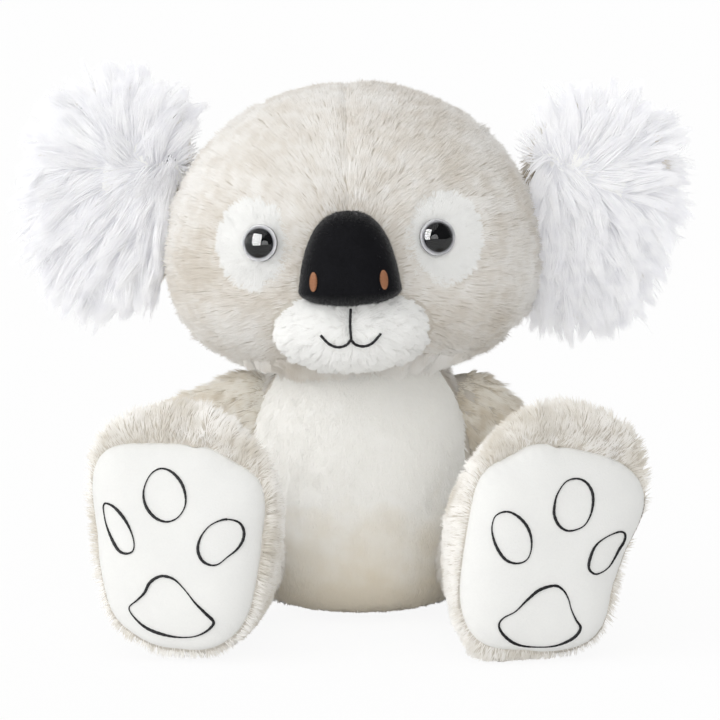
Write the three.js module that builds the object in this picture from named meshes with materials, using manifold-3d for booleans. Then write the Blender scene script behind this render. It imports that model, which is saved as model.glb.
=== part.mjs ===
// A seated plush koala, in millimetres: +Z up, the face towards -Y, +X to the right of the picture.
// The origin lies on the floor, in the middle of the flat seat. The toy is sewn from plush covers over
// fibre fill. The head sits on a wide neck seam, and head, ears, arms and legs flop at their seams.
import * as THREE from 'three';
import { mergeVertices } from 'three/addons/utils/BufferGeometryUtils.js';
import Module from 'manifold-3d';

const wasm = await Module();
wasm.setup();

// Cloth and seams
const clearance = 0.35; // left between two pieces that are sewn or pressed together
const seamRoom = 0.8; // left round a ball-shaped limb end, which turns in its seam
const neckRoom = 0.1; // left over the corners of the round neck, on which the head turns
const wall = 3.6; // plush cloth with the foot of its pile
const floorCut = 0.5; // how deep a form that stands on the floor is pressed flat
const reach = 800; // cutters are this large, past every piece

// The turning centre of the head, inside the chest, and the round neck seam about it
const neck = { back: -2, height: 86, radius: 58.5, padDepth: 6, padAngle: 30 };

// Body: a bean shape, widest low down, pressed flat under the seat
const bodyHeight = 48;
const body = {
  back: 0, height: bodyHeight, wide: 62, front: 60, rear: 56, down: bodyHeight + floorCut, up: 96,
  downPower: 3.6, upPower: 2.3, roundPower: 2.1,
};
const belly = { height: 62, wide: 51, down: 74, up: 92, power: 3, front: 22 };
const beans = { back: 3, height: 15, wide: 32, front: 28, rear: 29, down: 10.4, up: 13 };

// Head: wide cheeks, round crown
const head = {
  back: -8, height: 176, wide: 92.5, front: 72, rear: 68, down: 60, up: 89,
  downPower: 2.3, upPower: 2.1, roundPower: 2.2,
};
const headRoll = -2; // degrees, the rest posture of the head
const headTurn = -1.4;
const muzzle = { back: -68, height: 147, wide: 36.6, front: 28, rear: 20, down: 20, up: 20, round: 2.2 };
const nose = {
  back: -80, height: 169, wide: 24.6, front: 23, rear: 12, down: 11, up: 36, power: 2.2, upPower: 2.5,
  round: 2.3, taperShare: 0.25,
};
const nostril = { out: 16.8, height: 173, wide: 2.1, tall: 4.6, deep: 1.3 };
const eyePatch = { out: 45.6, height: 189.5, wide: 15.8, tall: 19.5, power: 2.1 };
const eye = {
  out: 42, height: 190.4, radius: 9, dome: 5.6, plate: 1.6, shankRadius: 3, shankLength: 15,
  washerRadius: 10, washerThick: 2, washerSeat: 1.2,
};
const thread = { wide: 1.5, thick: 0.9 };
// The mouth's heights on the muzzle are shares of its half height.
const mouth = { topShare: 0.6, joinShare: -0.115, wide: 14.7, sag: 3.3, rise: 3.2, lowShare: 0.42 };

// Ears: long-pile discs on a round root along the side seam of the head
const ear = {
  out: 86.4, height: 205, rootRadius: 10, rootHalf: 35, rootTilt: 13, wedgeAngle: 42,
  centre: 32, wide: 41, tall: 58, front: 27, rear: 19, power: 2.3, split: 3,
  wadWide: 23, wadTall: 40, wadDeep: 6,
};
const earLift = { left: 8, right: -20 }; // degrees above level, the rest posture of each ear

// Arms: short tapering limbs from a round shoulder, which lies a little above the neck pivot
const arm = {
  out: 54, back: 6, rise: 10, radius: 22.5, length: 57, endRadius: 20.5, mouthRadius: 14, room: 3,
};
const shoulderHeight = neck.height + arm.rise;
const armForward = 8; // degrees that an arm points forward
const armDroop = { left: 23, right: 43 }; // degrees below level
const armSwellShares = [1, 1, 1.01, 1, 0.98, 0.95]; // radius along the arm, of the shoulder's

// Legs: from a round hip along the floor to a tall upright foot
const leg = {
  out: 63, front: 44, hipHeight: 31, hipRadius: 27, length: 100, footWide: 47.5, footTall: 120,
  endPower: 2.6, room: 1.5,
};
const legYaw = { left: 13, right: 15.5 }; // degrees away from straight ahead
const footRoll = { left: 1, right: 9.5 }; // degrees that the foot leans outwards
const soleRoll = { left: 1, right: 15 }; // degrees that the sole is rolled outwards
const footLean = 12; // degrees that the sole leans back
const footTurn = { left: 5, right: -2 }; // degrees that the sole turns back in
// Each station along the leg: [place, half width, lowest point, highest point], as shares of the leg's
// length, the foot's half width, and the foot's height
const stationShares = [
  [0.2, 0.6, 0.017, 0.5], [0.38, 0.68, 0, 0.58], [0.52, 0.8, 0, 0.71], [0.64, 0.9, 0, 0.84],
  [0.75, 0.975, 0, 0.935], [0.85, 1, 0, 0.99], [0.93, 0.98, 0.004, 0.995], [1, 0.925, 0.02, 0.955],
];
const sole = { height: 52, wide: 41.5, tall: 48, front: 13, rear: 8, power: 2.8, domePower: 1.5 };
const toe = { wide: 10.1, tall: 12.7 };
// Each toe: [outward place, height, tilt in degrees], places as shares of the sole's half sizes
const toeShares = { middle: [0.1, 0.48, -3], outer: [0.62, 0.135, 24], inner: [-0.555, 0.055, -40] };
const pad = { wide: 20, tall: 13.8 };
const padPlaceShares = [-0.035, -0.55];
// The pad's outline, as shares of its half sizes
const padOutlineShares = [
  [0, 1], [0.3, 0.8], [0.65, 0.1], [0.98, -0.35], [0.9, -0.74], [0.45, -0.95], [0, -1],
  [-0.45, -0.95], [-0.9, -0.74], [-0.98, -0.35], [-0.65, 0.1], [-0.3, 0.8],
];

// Facets round and along each kind of form
const coarse = { around: 14, along: 7 };
const medium = { around: 18, along: 9 };
const fine = { around: 24, along: 12 };
const turning = { around: 30, along: 15 }; // round the neck, where the head turns on the body

const sign = { left: -1, right: 1 };
const radians = THREE.MathUtils.degToRad;

// A closed skin over a stack of rings with equally many points. Each end closes on a point, which is
// the middle of its ring unless another is given.
function skinOver(rings, poles = []) {
  const size = rings[0].length;
  const middle = (ring) => ring.reduce((sum, p) => sum.add(p), new THREE.Vector3()).divideScalar(size);
  const points = [poles[0] ?? middle(rings[0]), ...rings.flat(), poles[1] ?? middle(rings.at(-1))];
  const index = [];
  for (let i = 0; i < size; i += 1) {
    const next = (i + 1) % size;
    index.push(0, 1 + next, 1 + i);
    for (let j = 0; j + 1 < rings.length; j += 1) {
      const low = 1 + j * size;
      const high = low + size;
      index.push(low + i, low + next, high + next, low + i, high + next, high + i);
    }
    const last = points.length - 1 - size;
    index.push(points.length - 1, last + i, last + next);
  }
  return facingOut(points, index);
}

// A closed ring-shaped skin: the last section joins the first.
function skinRound(sections) {
  const size = sections[0].length;
  const index = [];
  sections.forEach((_, j) => {
    const low = j * size;
    const high = ((j + 1) % sections.length) * size;
    for (let i = 0; i < size; i += 1) {
      const next = (i + 1) % size;
      index.push(low + i, low + next, high + next, low + i, high + next, high + i);
    }
  });
  return facingOut(sections.flat(), index);
}

// Builds the geometry, and turns every face round if the skin came out inside out.
function facingOut(points, index) {
  let volume = 0;
  for (let i = 0; i < index.length; i += 3) {
    const [a, b, c] = index.slice(i, i + 3).map((k) => points[k]);
    volume += new THREE.Vector3().crossVectors(b, c).dot(a);
  }
  if (volume < 0) index.reverse();
  const geometry = new THREE.BufferGeometry().setFromPoints(points);
  geometry.setIndex(index);
  return geometry;
}

const power = (value, exponent) => Math.sign(value) * Math.abs(value) ** (2 / exponent);

// A swelling form. Its outline seen from the front and its level sections are rounded by powers: 2 is
// an ellipse, more is fuller. taperShare narrows it upwards, and a domePower over 1 thins its edges.
function swell(form, grow = 0, facets = medium) {
  const rings = [];
  for (let j = 1; j < facets.along; j += 1) {
    const angle = Math.PI * (j / facets.along - 0.5);
    const [rise, fullness] = [Math.sin(angle), Math.cos(angle)];
    const exponent = rise < 0 ? form.downPower : form.upPower;
    const height = power(rise, exponent);
    const share = power(fullness, exponent);
    const z = form.height + height * ((rise < 0 ? form.down : form.up) + grow);
    const ring = [];
    for (let i = 0; i < facets.around; i += 1) {
      const turn = (2 * Math.PI * i) / facets.around;
      const [across, deep] = [power(Math.cos(turn), form.roundPower), power(Math.sin(turn), form.roundPower)];
      const x = across * share * (form.wide + grow) * (1 - (form.taperShare ?? 0) * height);
      const depth = Math.sign(deep) * Math.abs(deep * share) ** (form.domePower ?? 1);
      const y = form.back + depth * ((deep < 0 ? form.front : form.rear) + grow);
      ring.push(new THREE.Vector3((form.out ?? 0) + x, y, z));
    }
    rings.push(ring);
  }
  const poleAt = (z) => new THREE.Vector3(form.out ?? 0, form.back, z);
  return skinOver(rings, [poleAt(form.height - form.down - grow), poleAt(form.height + form.up + grow)]);
}

// How far forward a swelling form reaches at a place seen from the front.
function frontOf(form, x, z) {
  const exponent = z < form.height ? form.downPower : form.upPower;
  const height = (z - form.height) / (z < form.height ? form.down : form.up);
  const share = (1 - Math.abs(height) ** exponent) ** (1 / exponent);
  const wide = form.wide * share * (1 - (form.taperShare ?? 0) * height);
  const across = Math.abs((x - (form.out ?? 0)) / wide);
  const depth = share * (1 - across ** form.roundPower) ** (1 / form.roundPower);
  return form.back - form.front * depth ** (form.domePower ?? 1);
}

// The frame of a place on a form's front: its -Y axis points straight out of the surface.
function placeOn(form, x, z) {
  const step = form.wide / 200;
  const slope = (dx, dz) => (frontOf(form, x + dx, z + dz) - frontOf(form, x - dx, z - dz)) / (2 * step);
  const inward = new THREE.Vector3(-slope(step, 0), 1, -slope(0, step)).normalize();
  const right = new THREE.Vector3().crossVectors(inward, new THREE.Vector3(0, 0, 1)).normalize();
  const up = new THREE.Vector3().crossVectors(right, inward);
  const frame = new THREE.Matrix4().makeBasis(right, inward, up);
  return frame.setPosition(x, frontOf(form, x, z), z);
}

function solid(geometry) {
  const bare = geometry.clone();
  bare.deleteAttribute('normal');
  bare.deleteAttribute('uv');
  const merged = mergeVertices(bare);
  return new wasm.Manifold(new wasm.Mesh({
    numProp: 3,
    vertProperties: new Float32Array(merged.attributes.position.array),
    triVerts: new Uint32Array(merged.index.array),
  }));
}

function geometryOf(shape) {
  const { vertProperties, triVerts } = shape.getMesh();
  const geometry = new THREE.BufferGeometry();
  geometry.setAttribute('position', new THREE.BufferAttribute(vertProperties, 3));
  geometry.setIndex(new THREE.BufferAttribute(triVerts, 1));
  return geometry;
}

// The other side's copy of a geometry.
function mirrored(geometry) {
  const copy = geometry.clone();
  const { position } = copy.attributes;
  for (let i = 0; i < position.count; i += 1) position.setX(i, -position.getX(i));
  copy.index.array.reverse();
  return copy;
}

// A ball whose corners lie on its radius, or, as a cutter, whose flat facets lie on it.
function ball(radius, place, facets = coarse, cutter = false) {
  const grow = cutter ? 1 / (Math.cos(Math.PI / facets.around) * Math.cos(Math.PI / 2 / facets.along)) : 1;
  const geometry = new THREE.SphereGeometry(radius * grow, facets.around, facets.along);
  return solid(geometry.rotateX(Math.PI / 2).translate(...place));
}

// A prism along Y whose outline is a rounded oval.
function prism(shape, grow, near, far) {
  const ring = (y) => {
    const points = [];
    for (let i = 0; i < fine.around; i += 1) {
      const turn = (2 * Math.PI * i) / fine.around;
      const rise = power(Math.sin(turn), shape.power);
      const tall = shape.tall ?? (rise < 0 ? shape.down : shape.up);
      points.push(new THREE.Vector3(
        (shape.out ?? 0) + (shape.wide + grow) * power(Math.cos(turn), shape.power),
        y,
        shape.height + (tall + grow) * rise,
      ));
    }
    return points;
  };
  return solid(skinOver([ring(near), ring(far)]));
}

// All space on one side of a plane across an axis, out to the reach of the cutters.
function halfSpace(axis, from, side) {
  const box = new THREE.BoxGeometry(reach, reach, reach);
  const middle = new THREE.Vector3();
  middle[axis] = from + (side * reach) / 2;
  return solid(box.translate(middle.x, middle.y, middle.z));
}

const plush = { roughness: 0.95, metalness: 0 };
const materials = {
  greyPlush: new THREE.MeshStandardMaterial({ color: 0xd8d4c8, ...plush }),
  whitePlush: new THREE.MeshStandardMaterial({ color: 0xf1f0ee, ...plush }),
  longFur: new THREE.MeshStandardMaterial({ color: 0xf3f3f6, ...plush }),
  velour: new THREE.MeshStandardMaterial({ color: 0x151517, roughness: 0.9, metalness: 0 }),
  brownThread: new THREE.MeshStandardMaterial({ color: 0x946a52, roughness: 0.6, metalness: 0 }),
  blackThread: new THREE.MeshStandardMaterial({ color: 0x222222, roughness: 0.6, metalness: 0 }),
  clearPlastic: new THREE.MeshStandardMaterial({
    color: 0xb8b8bc, roughness: 0.05, metalness: 0, transparent: true, opacity: 0.5,
  }),
  blackPlastic: new THREE.MeshStandardMaterial({ color: 0x0b0b0c, roughness: 0.25, metalness: 0 }),
  whitePlastic: new THREE.MeshStandardMaterial({ color: 0xe8e8e4, roughness: 0.5, metalness: 0 }),
  fibre: new THREE.MeshStandardMaterial({ color: 0xfafafa, roughness: 1, metalness: 0 }),
  beanCloth: new THREE.MeshStandardMaterial({ color: 0xdedace, roughness: 0.9, metalness: 0 }),
};

function piece(name, geometry, material) {
  const mesh = new THREE.Mesh(geometry, material);
  geometry.computeVertexNormals();
  mesh.name = name;
  return mesh;
}

const koala = new THREE.Group();
const pivot = [0, neck.back, neck.height];

// Body: a grey cover with a white belly panel set into its front, open at the neck. The fill rises
// through the opening, and a bag of pellets under it weighs the seat down.
{
  const skin = solid(swell(body, 0, fine)).intersect(ball(neck.radius, pivot, turning)
    .add(halfSpace('z', neck.height, -1)));
  const hipBall = (side, grow) => ball(
    leg.hipRadius + seamRoom + grow, [sign[side] * leg.out, -leg.front, leg.hipHeight], coarse, true,
  );
  const shoulderBall = (side, grow) => ball(
    arm.radius + seamRoom + grow, [sign[side] * arm.out, arm.back, shoulderHeight], coarse, true,
  );
  const lessLimbs = (shape, grow) => ['left', 'right'].reduce(
    (left, side) => left.subtract(hipBall(side, grow)).subtract(shoulderBall(side, grow)), shape,
  );
  const cone = (grow) => {
    const top = neck.radius + wall;
    const profile = [new THREE.Vector2(0, 0), new THREE.Vector2(top * Math.tan(radians(neck.padAngle)) + grow, top),
      new THREE.Vector2(0, top)];
    return solid(new THREE.LatheGeometry(profile, fine.around).rotateX(Math.PI / 2).translate(...pivot));
  };
  const padSeat = neck.radius - neck.padDepth;
  const neckHole = cone(clearance);
  const aboveFloor = halfSpace('z', 0, 1);

  const inside = (grow) => lessLimbs(
    solid(swell(body, -grow, coarse)).intersect(halfSpace('z', grow, 1)), grow,
  );
  const shell = lessLimbs(skin, 0).intersect(aboveFloor).subtract(inside(wall)).subtract(neckHole);
  const panelCut = (grow) => prism(belly, grow, grow - belly.front, -reach);
  koala.add(piece('body_cover', geometryOf(shell.subtract(panelCut(clearance))), materials.greyPlush));
  koala.add(piece('belly_panel', geometryOf(shell.intersect(panelCut(0))), materials.whitePlush));

  const bag = { ...beans, downPower: 2.4, upPower: 2.2, roundPower: 2 };
  const bagSpace = { ...bag, down: beans.height };
  const fill = inside(wall + clearance).subtract(neckHole.subtract(ball(padSeat, pivot)))
    .subtract(solid(swell(bagSpace, clearance, coarse)));
  koala.add(piece('body_stuffing', geometryOf(fill), materials.fibre));
  koala.add(piece('seat_bean_bag', swell(bag, 0, coarse), materials.beanCloth));

  const wad = ball(neck.radius, pivot, turning).intersect(cone(0))
    .subtract(ball(padSeat + clearance, pivot, coarse, true));
  koala.add(piece('neck_wad', geometryOf(wad), materials.fibre));
}

// Head: everything on it is built upright, then tipped and turned about the neck pivot into the rest
// posture.
const tip = new THREE.Group();
tip.position.set(...pivot);
tip.rotation.set(0, radians(headRoll), radians(headTurn));
const headGroup = new THREE.Group();
headGroup.position.set(...pivot).negate();
tip.add(headGroup);
koala.add(tip);
{
  const seat = ball(neck.radius + neckRoom, pivot, turning, true);
  const outside = (grow) => solid(swell(head, grow, fine));
  const inside = (grow) => solid(swell(head, -grow, coarse));

  // The root of each ear lies in a groove along the side of the head.
  const rootSpan = (side, grow) => {
    const longer = 2 * (ear.rootHalf + grow);
    const bar = new THREE.CylinderGeometry(
      (ear.rootRadius + grow) / Math.cos(Math.PI / coarse.around),
      (ear.rootRadius + grow) / Math.cos(Math.PI / coarse.around), longer, coarse.around,
    );
    bar.rotateX(Math.PI / 2).rotateY(-sign[side] * radians(ear.rootTilt));
    return solid(bar.translate(sign[side] * ear.out, 0, ear.height));
  };
  const lessRoots = (shape, grow) => ['left', 'right'].reduce(
    (left, side) => left.subtract(rootSpan(side, clearance + grow)), shape,
  );

  // A round bar along an eye's axis, between two depths measured inwards from the surface.
  const eyeFrame = placeOn(head, eye.out, eye.height);
  const eyeBar = (radius, near, far) => {
    const bar = new THREE.CylinderGeometry(radius, radius, far - near, coarse.around);
    return bar.translate(0, (near + far) / 2, 0).applyMatrix4(eyeFrame);
  };
  const shankHole = solid(eyeBar(eye.shankRadius + clearance, -head.front, eye.shankLength + clearance));
  const washerNear = wall + eye.washerSeat;
  const washerFar = washerNear + eye.washerThick;
  const washerPocket = solid(eyeBar(eye.washerRadius + clearance, -head.front, washerFar + clearance));
  const washerDent = solid(eyeBar(eye.washerRadius + clearance, washerNear - clearance, washerFar + clearance));
  const both = (shape) => shape.add(solid(mirrored(geometryOf(shape))));

  const shell = lessRoots(outside(0), 0).subtract(lessRoots(inside(wall), wall)).subtract(seat)
    .subtract(both(shankHole)).subtract(both(washerDent));
  const patchSpace = (grow) => prism(eyePatch, grow, 0, -reach);
  const cover = shell.subtract(both(patchSpace(clearance)));
  const patch = geometryOf(shell.intersect(patchSpace(0)));
  for (const side of ['left', 'right']) {
    const half = cover.intersect(halfSpace('x', (sign[side] * clearance) / 2, sign[side]));
    headGroup.add(piece(`head_cover_${side}`, geometryOf(half), materials.greyPlush));
    headGroup.add(piece(
      `eye_patch_${side}`, side === 'right' ? patch : mirrored(patch), materials.whitePlush,
    ));
  }
  const fill = lessRoots(inside(wall + clearance), wall + clearance).subtract(seat)
    .subtract(both(shankHole)).subtract(both(washerPocket));
  headGroup.add(piece('head_stuffing', geometryOf(fill), materials.fibre));

  // Safety eyes: a clear dome on a black plate, whose shank passes through the cloth into a washer.
  const domeProfile = [new THREE.Vector2(0, 0)];
  const domeSteps = 5;
  for (let i = 0; i <= domeSteps; i += 1) {
    const angle = (Math.PI / 2) * (i / domeSteps);
    domeProfile.push(new THREE.Vector2(
      i < domeSteps ? eye.radius * Math.cos(angle) : 0, eye.dome * Math.sin(angle),
    ));
  }
  const plateTop = clearance + eye.plate;
  const outward = (geometry, height) => geometry.rotateX(Math.PI).translate(0, -height, 0)
    .applyMatrix4(eyeFrame);
  const dome = geometryOf(solid(outward(
    new THREE.LatheGeometry(domeProfile, medium.around), plateTop + clearance,
  )));
  const plate = geometryOf(solid(eyeBar(eye.radius, -plateTop, -clearance))
    .add(solid(eyeBar(eye.shankRadius, -plateTop, eye.shankLength))));
  const washer = geometryOf(solid(eyeBar(eye.washerRadius, washerNear, washerFar))
    .subtract(solid(eyeBar((eye.shankRadius + clearance) / Math.cos(Math.PI / coarse.around), 0,
      washerFar + eye.washerThick))));
  for (const side of ['left', 'right']) {
    const own = (geometry) => (side === 'right' ? geometry.clone() : mirrored(geometry));
    headGroup.add(piece(`eye_dome_${side}`, own(dome), materials.clearPlastic));
    headGroup.add(piece(`eye_back_${side}`, own(plate), materials.blackPlastic));
    headGroup.add(piece(`eye_washer_${side}`, own(washer), materials.whitePlastic));
  }

  // Muzzle: a stuffed white dome on the face, with the black nose on its upper edge.
  const muzzleForm = { ...muzzle, downPower: muzzle.round, upPower: muzzle.round, roundPower: muzzle.round };
  const noseForm = { ...nose, downPower: nose.power, roundPower: nose.round };
  const muzzleDome = solid(swell(muzzleForm, 0, medium)).subtract(outside(clearance)).subtract(seat);
  const noseDome = solid(swell(noseForm, 0, medium)).subtract(outside(clearance))
    .subtract(solid(swell(muzzleForm, clearance, medium)));
  const noseSpace = solid(swell(noseForm, clearance, medium));
  headGroup.add(piece('muzzle_panel', geometryOf(muzzleDome), materials.whitePlush));
  headGroup.add(piece('nose_cover', geometryOf(noseDome), materials.velour));

  // Nostrils: small raised ovals of satin stitch on the nose.
  const nostrilForm = {
    back: 0, height: 0, wide: nostril.wide, front: nostril.deep, rear: nostril.deep,
    down: nostril.tall, up: nostril.tall, downPower: 2, upPower: 2, roundPower: 2,
  };
  const nostrilOval = solid(swell(nostrilForm, 0, { around: 10, along: 6 })
    .applyMatrix4(placeOn(noseForm, nostril.out, nostril.height))).subtract(noseSpace);
  for (const side of ['left', 'right']) {
    const oval = geometryOf(nostrilOval);
    headGroup.add(piece(
      `nostril_${side}`, side === 'right' ? oval : mirrored(oval), materials.brownThread,
    ));
  }

  // Mouth: a short upright line of thread that parts into a wide smile, laid on the muzzle.
  const laid = (points) => {
    const sections = points.map(([x, z], i) => {
      const [ax, az] = points[Math.max(i - 1, 0)];
      const [bx, bz] = points[Math.min(i + 1, points.length - 1)];
      const along = new THREE.Vector2(bx - ax, bz - az).normalize();
      const under = frontOf(muzzleForm, x, z) - clearance;
      const corner = (side, lift) => new THREE.Vector3(
        x - (side * along.y * thread.wide) / 2, under - lift, z + (side * along.x * thread.wide) / 2,
      );
      return [corner(-1, 0), corner(1, 0), corner(1, thread.thick), corner(-1, thread.thick)];
    });
    return solid(skinOver(sections));
  };
  const top = muzzle.height + mouth.topShare * muzzle.up;
  const join = muzzle.height + mouth.joinShare * muzzle.down;
  const smile = (side) => {
    const steps = 8;
    return Array.from({ length: steps + 1 }, (_, i) => {
      const share = i / steps;
      const dip = share < mouth.lowShare
        ? -mouth.sag * Math.sin((Math.PI / 2) * (share / mouth.lowShare))
        : -mouth.sag + (mouth.sag + mouth.rise)
          * (1 - Math.cos((Math.PI / 2) * ((share - mouth.lowShare) / (1 - mouth.lowShare))));
      return [side * share * mouth.wide, join + dip];
    });
  };
  const upright = [[0, top], [0, (top + join) / 2], [0, join - thread.wide / 2]];
  const mouthLine = laid(upright).add(laid(smile(-1))).add(laid(smile(1)))
    .subtract(noseSpace);
  headGroup.add(piece('mouth_embroidery', geometryOf(mouthLine), materials.blackThread));

  // Ears: a disc of long fur in front, short plush behind, wadding between them. The disc narrows in
  // a wedge to its round root, so that it can flop both ways beside the head.
  for (const side of ['left', 'right']) {
    const lift = radians(earLift[side]);
    const tilt = radians(ear.rootTilt);
    const place = (geometry, angle) => geometry.rotateY(-angle).translate(ear.out, 0, ear.height);
    const disc = (wide, tall, front, rear, back, facets, grow = 0) => {
      const form = {
        out: ear.centre, back, height: 0, wide, front, rear, down: tall, up: tall,
        downPower: ear.power, upPower: ear.power, roundPower: 2,
      };
      return solid(place(swell(form, grow, facets), lift));
    };
    const spread = reach * Math.tan(radians(ear.wedgeAngle));
    const corners = [[0, 0], [reach, spread], [reach, -spread]];
    const wedge = solid(place(skinOver([-1, 1].map(
      (end) => corners.map(([x, y]) => new THREE.Vector3(x, y, end * reach)),
    )), tilt));
    const root = solid(place(
      new THREE.CylinderGeometry(ear.rootRadius, ear.rootRadius, 2 * ear.rootHalf, coarse.around)
        .rotateX(Math.PI / 2), tilt,
    ));
    const whole = disc(ear.wide, ear.tall, ear.front, ear.rear, 0, medium).intersect(wedge)
      .subtract(outside(clearance)).add(root);
    const wad = (grow) => disc(
      ear.wadWide, ear.wadTall, ear.wadDeep, ear.wadDeep, ear.split, coarse, grow,
    );
    const hollow = whole.subtract(wad(clearance));
    const fromPlane = (direction) => hollow.intersect(
      halfSpace('y', ear.split + (direction * clearance) / 2, direction),
    );
    const own = (shape) => (side === 'right' ? geometryOf(shape) : mirrored(geometryOf(shape)));
    headGroup.add(piece(`ear_front_${side}`, own(fromPlane(-1)), materials.longFur));
    headGroup.add(piece(`ear_back_${side}`, own(fromPlane(1)), materials.greyPlush));
    headGroup.add(piece(`ear_wadding_${side}`, own(wad(0)), materials.fibre));
  }
}

// The space that the body keeps beside a limb, seen in the limb's own frame. It starts where the limb
// leaves the room round its ball. The limb's wall and fill follow the same space, grown by their depth.
function besideBody(limbFrame, room, radius, axis, ahead) {
  limbFrame.updateMatrix();
  const toLimb = limbFrame.matrix.clone().invert();
  const start = Math.sqrt((radius + seamRoom / 2) ** 2 - radius ** 2);
  return (grow) => solid(swell(body, room + grow, medium).applyMatrix4(toLimb))
    .intersect(halfSpace(axis, ahead * start, ahead));
}

// Arms: each is built along +X from its shoulder, then drooped and brought forward.
for (const side of ['left', 'right']) {
  const limb = (shrink, facets) => {
    const rings = [];
    const ringAt = (x, radius) => Array.from({ length: facets.around }, (_, i) => {
      const turn = (2 * Math.PI * i) / facets.around;
      return new THREE.Vector3(x, radius * Math.cos(turn), radius * Math.sin(turn));
    });
    const capSteps = 4;
    for (let j = 1; j <= capSteps; j += 1) {
      const angle = (Math.PI / 2) * (j / capSteps);
      const radius = arm.radius - shrink;
      rings.push(ringAt(-radius * Math.cos(angle), radius * Math.sin(angle)));
    }
    armSwellShares.slice(1).forEach((share, i) => {
      rings.push(ringAt((arm.length * (i + 1)) / (armSwellShares.length - 1), arm.radius * share - shrink));
    });
    for (let j = 1; j < capSteps; j += 1) {
      const angle = (Math.PI / 2) * (j / capSteps);
      const end = arm.radius * armSwellShares.at(-1) - shrink;
      const long = arm.endRadius - shrink;
      rings.push(ringAt(arm.length + long * Math.sin(angle), end * Math.cos(angle)));
    }
    return solid(skinOver(rings));
  };
  const mouthHole = solid(new THREE.CylinderGeometry(
    arm.mouthRadius, arm.mouthRadius, arm.radius, coarse.around,
  ).rotateZ(Math.PI / 2).translate(-arm.radius, 0, 0));
  const posture = (hand) => {
    const group = new THREE.Group();
    group.position.set(hand * arm.out, arm.back, shoulderHeight);
    group.rotation.set(0, hand * radians(armDroop[side]), -hand * radians(armForward), 'ZYX');
    return group;
  };
  const armGroup = posture(sign[side]);
  const beside = besideBody(posture(1), arm.room, arm.radius, 'x', 1);
  const own = (shape) => (side === 'right' ? geometryOf(shape) : mirrored(geometryOf(shape)));
  const cover = limb(0, coarse).subtract(beside(0)).subtract(limb(wall, coarse).subtract(beside(wall)))
    .subtract(mouthHole);
  const fill = limb(wall + clearance, coarse).subtract(beside(wall + 2 * clearance));
  armGroup.add(piece(`arm_cover_${side}`, own(cover), materials.greyPlush));
  armGroup.add(piece(`arm_stuffing_${side}`, own(fill), materials.fibre));
  koala.add(armGroup);
}

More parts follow.
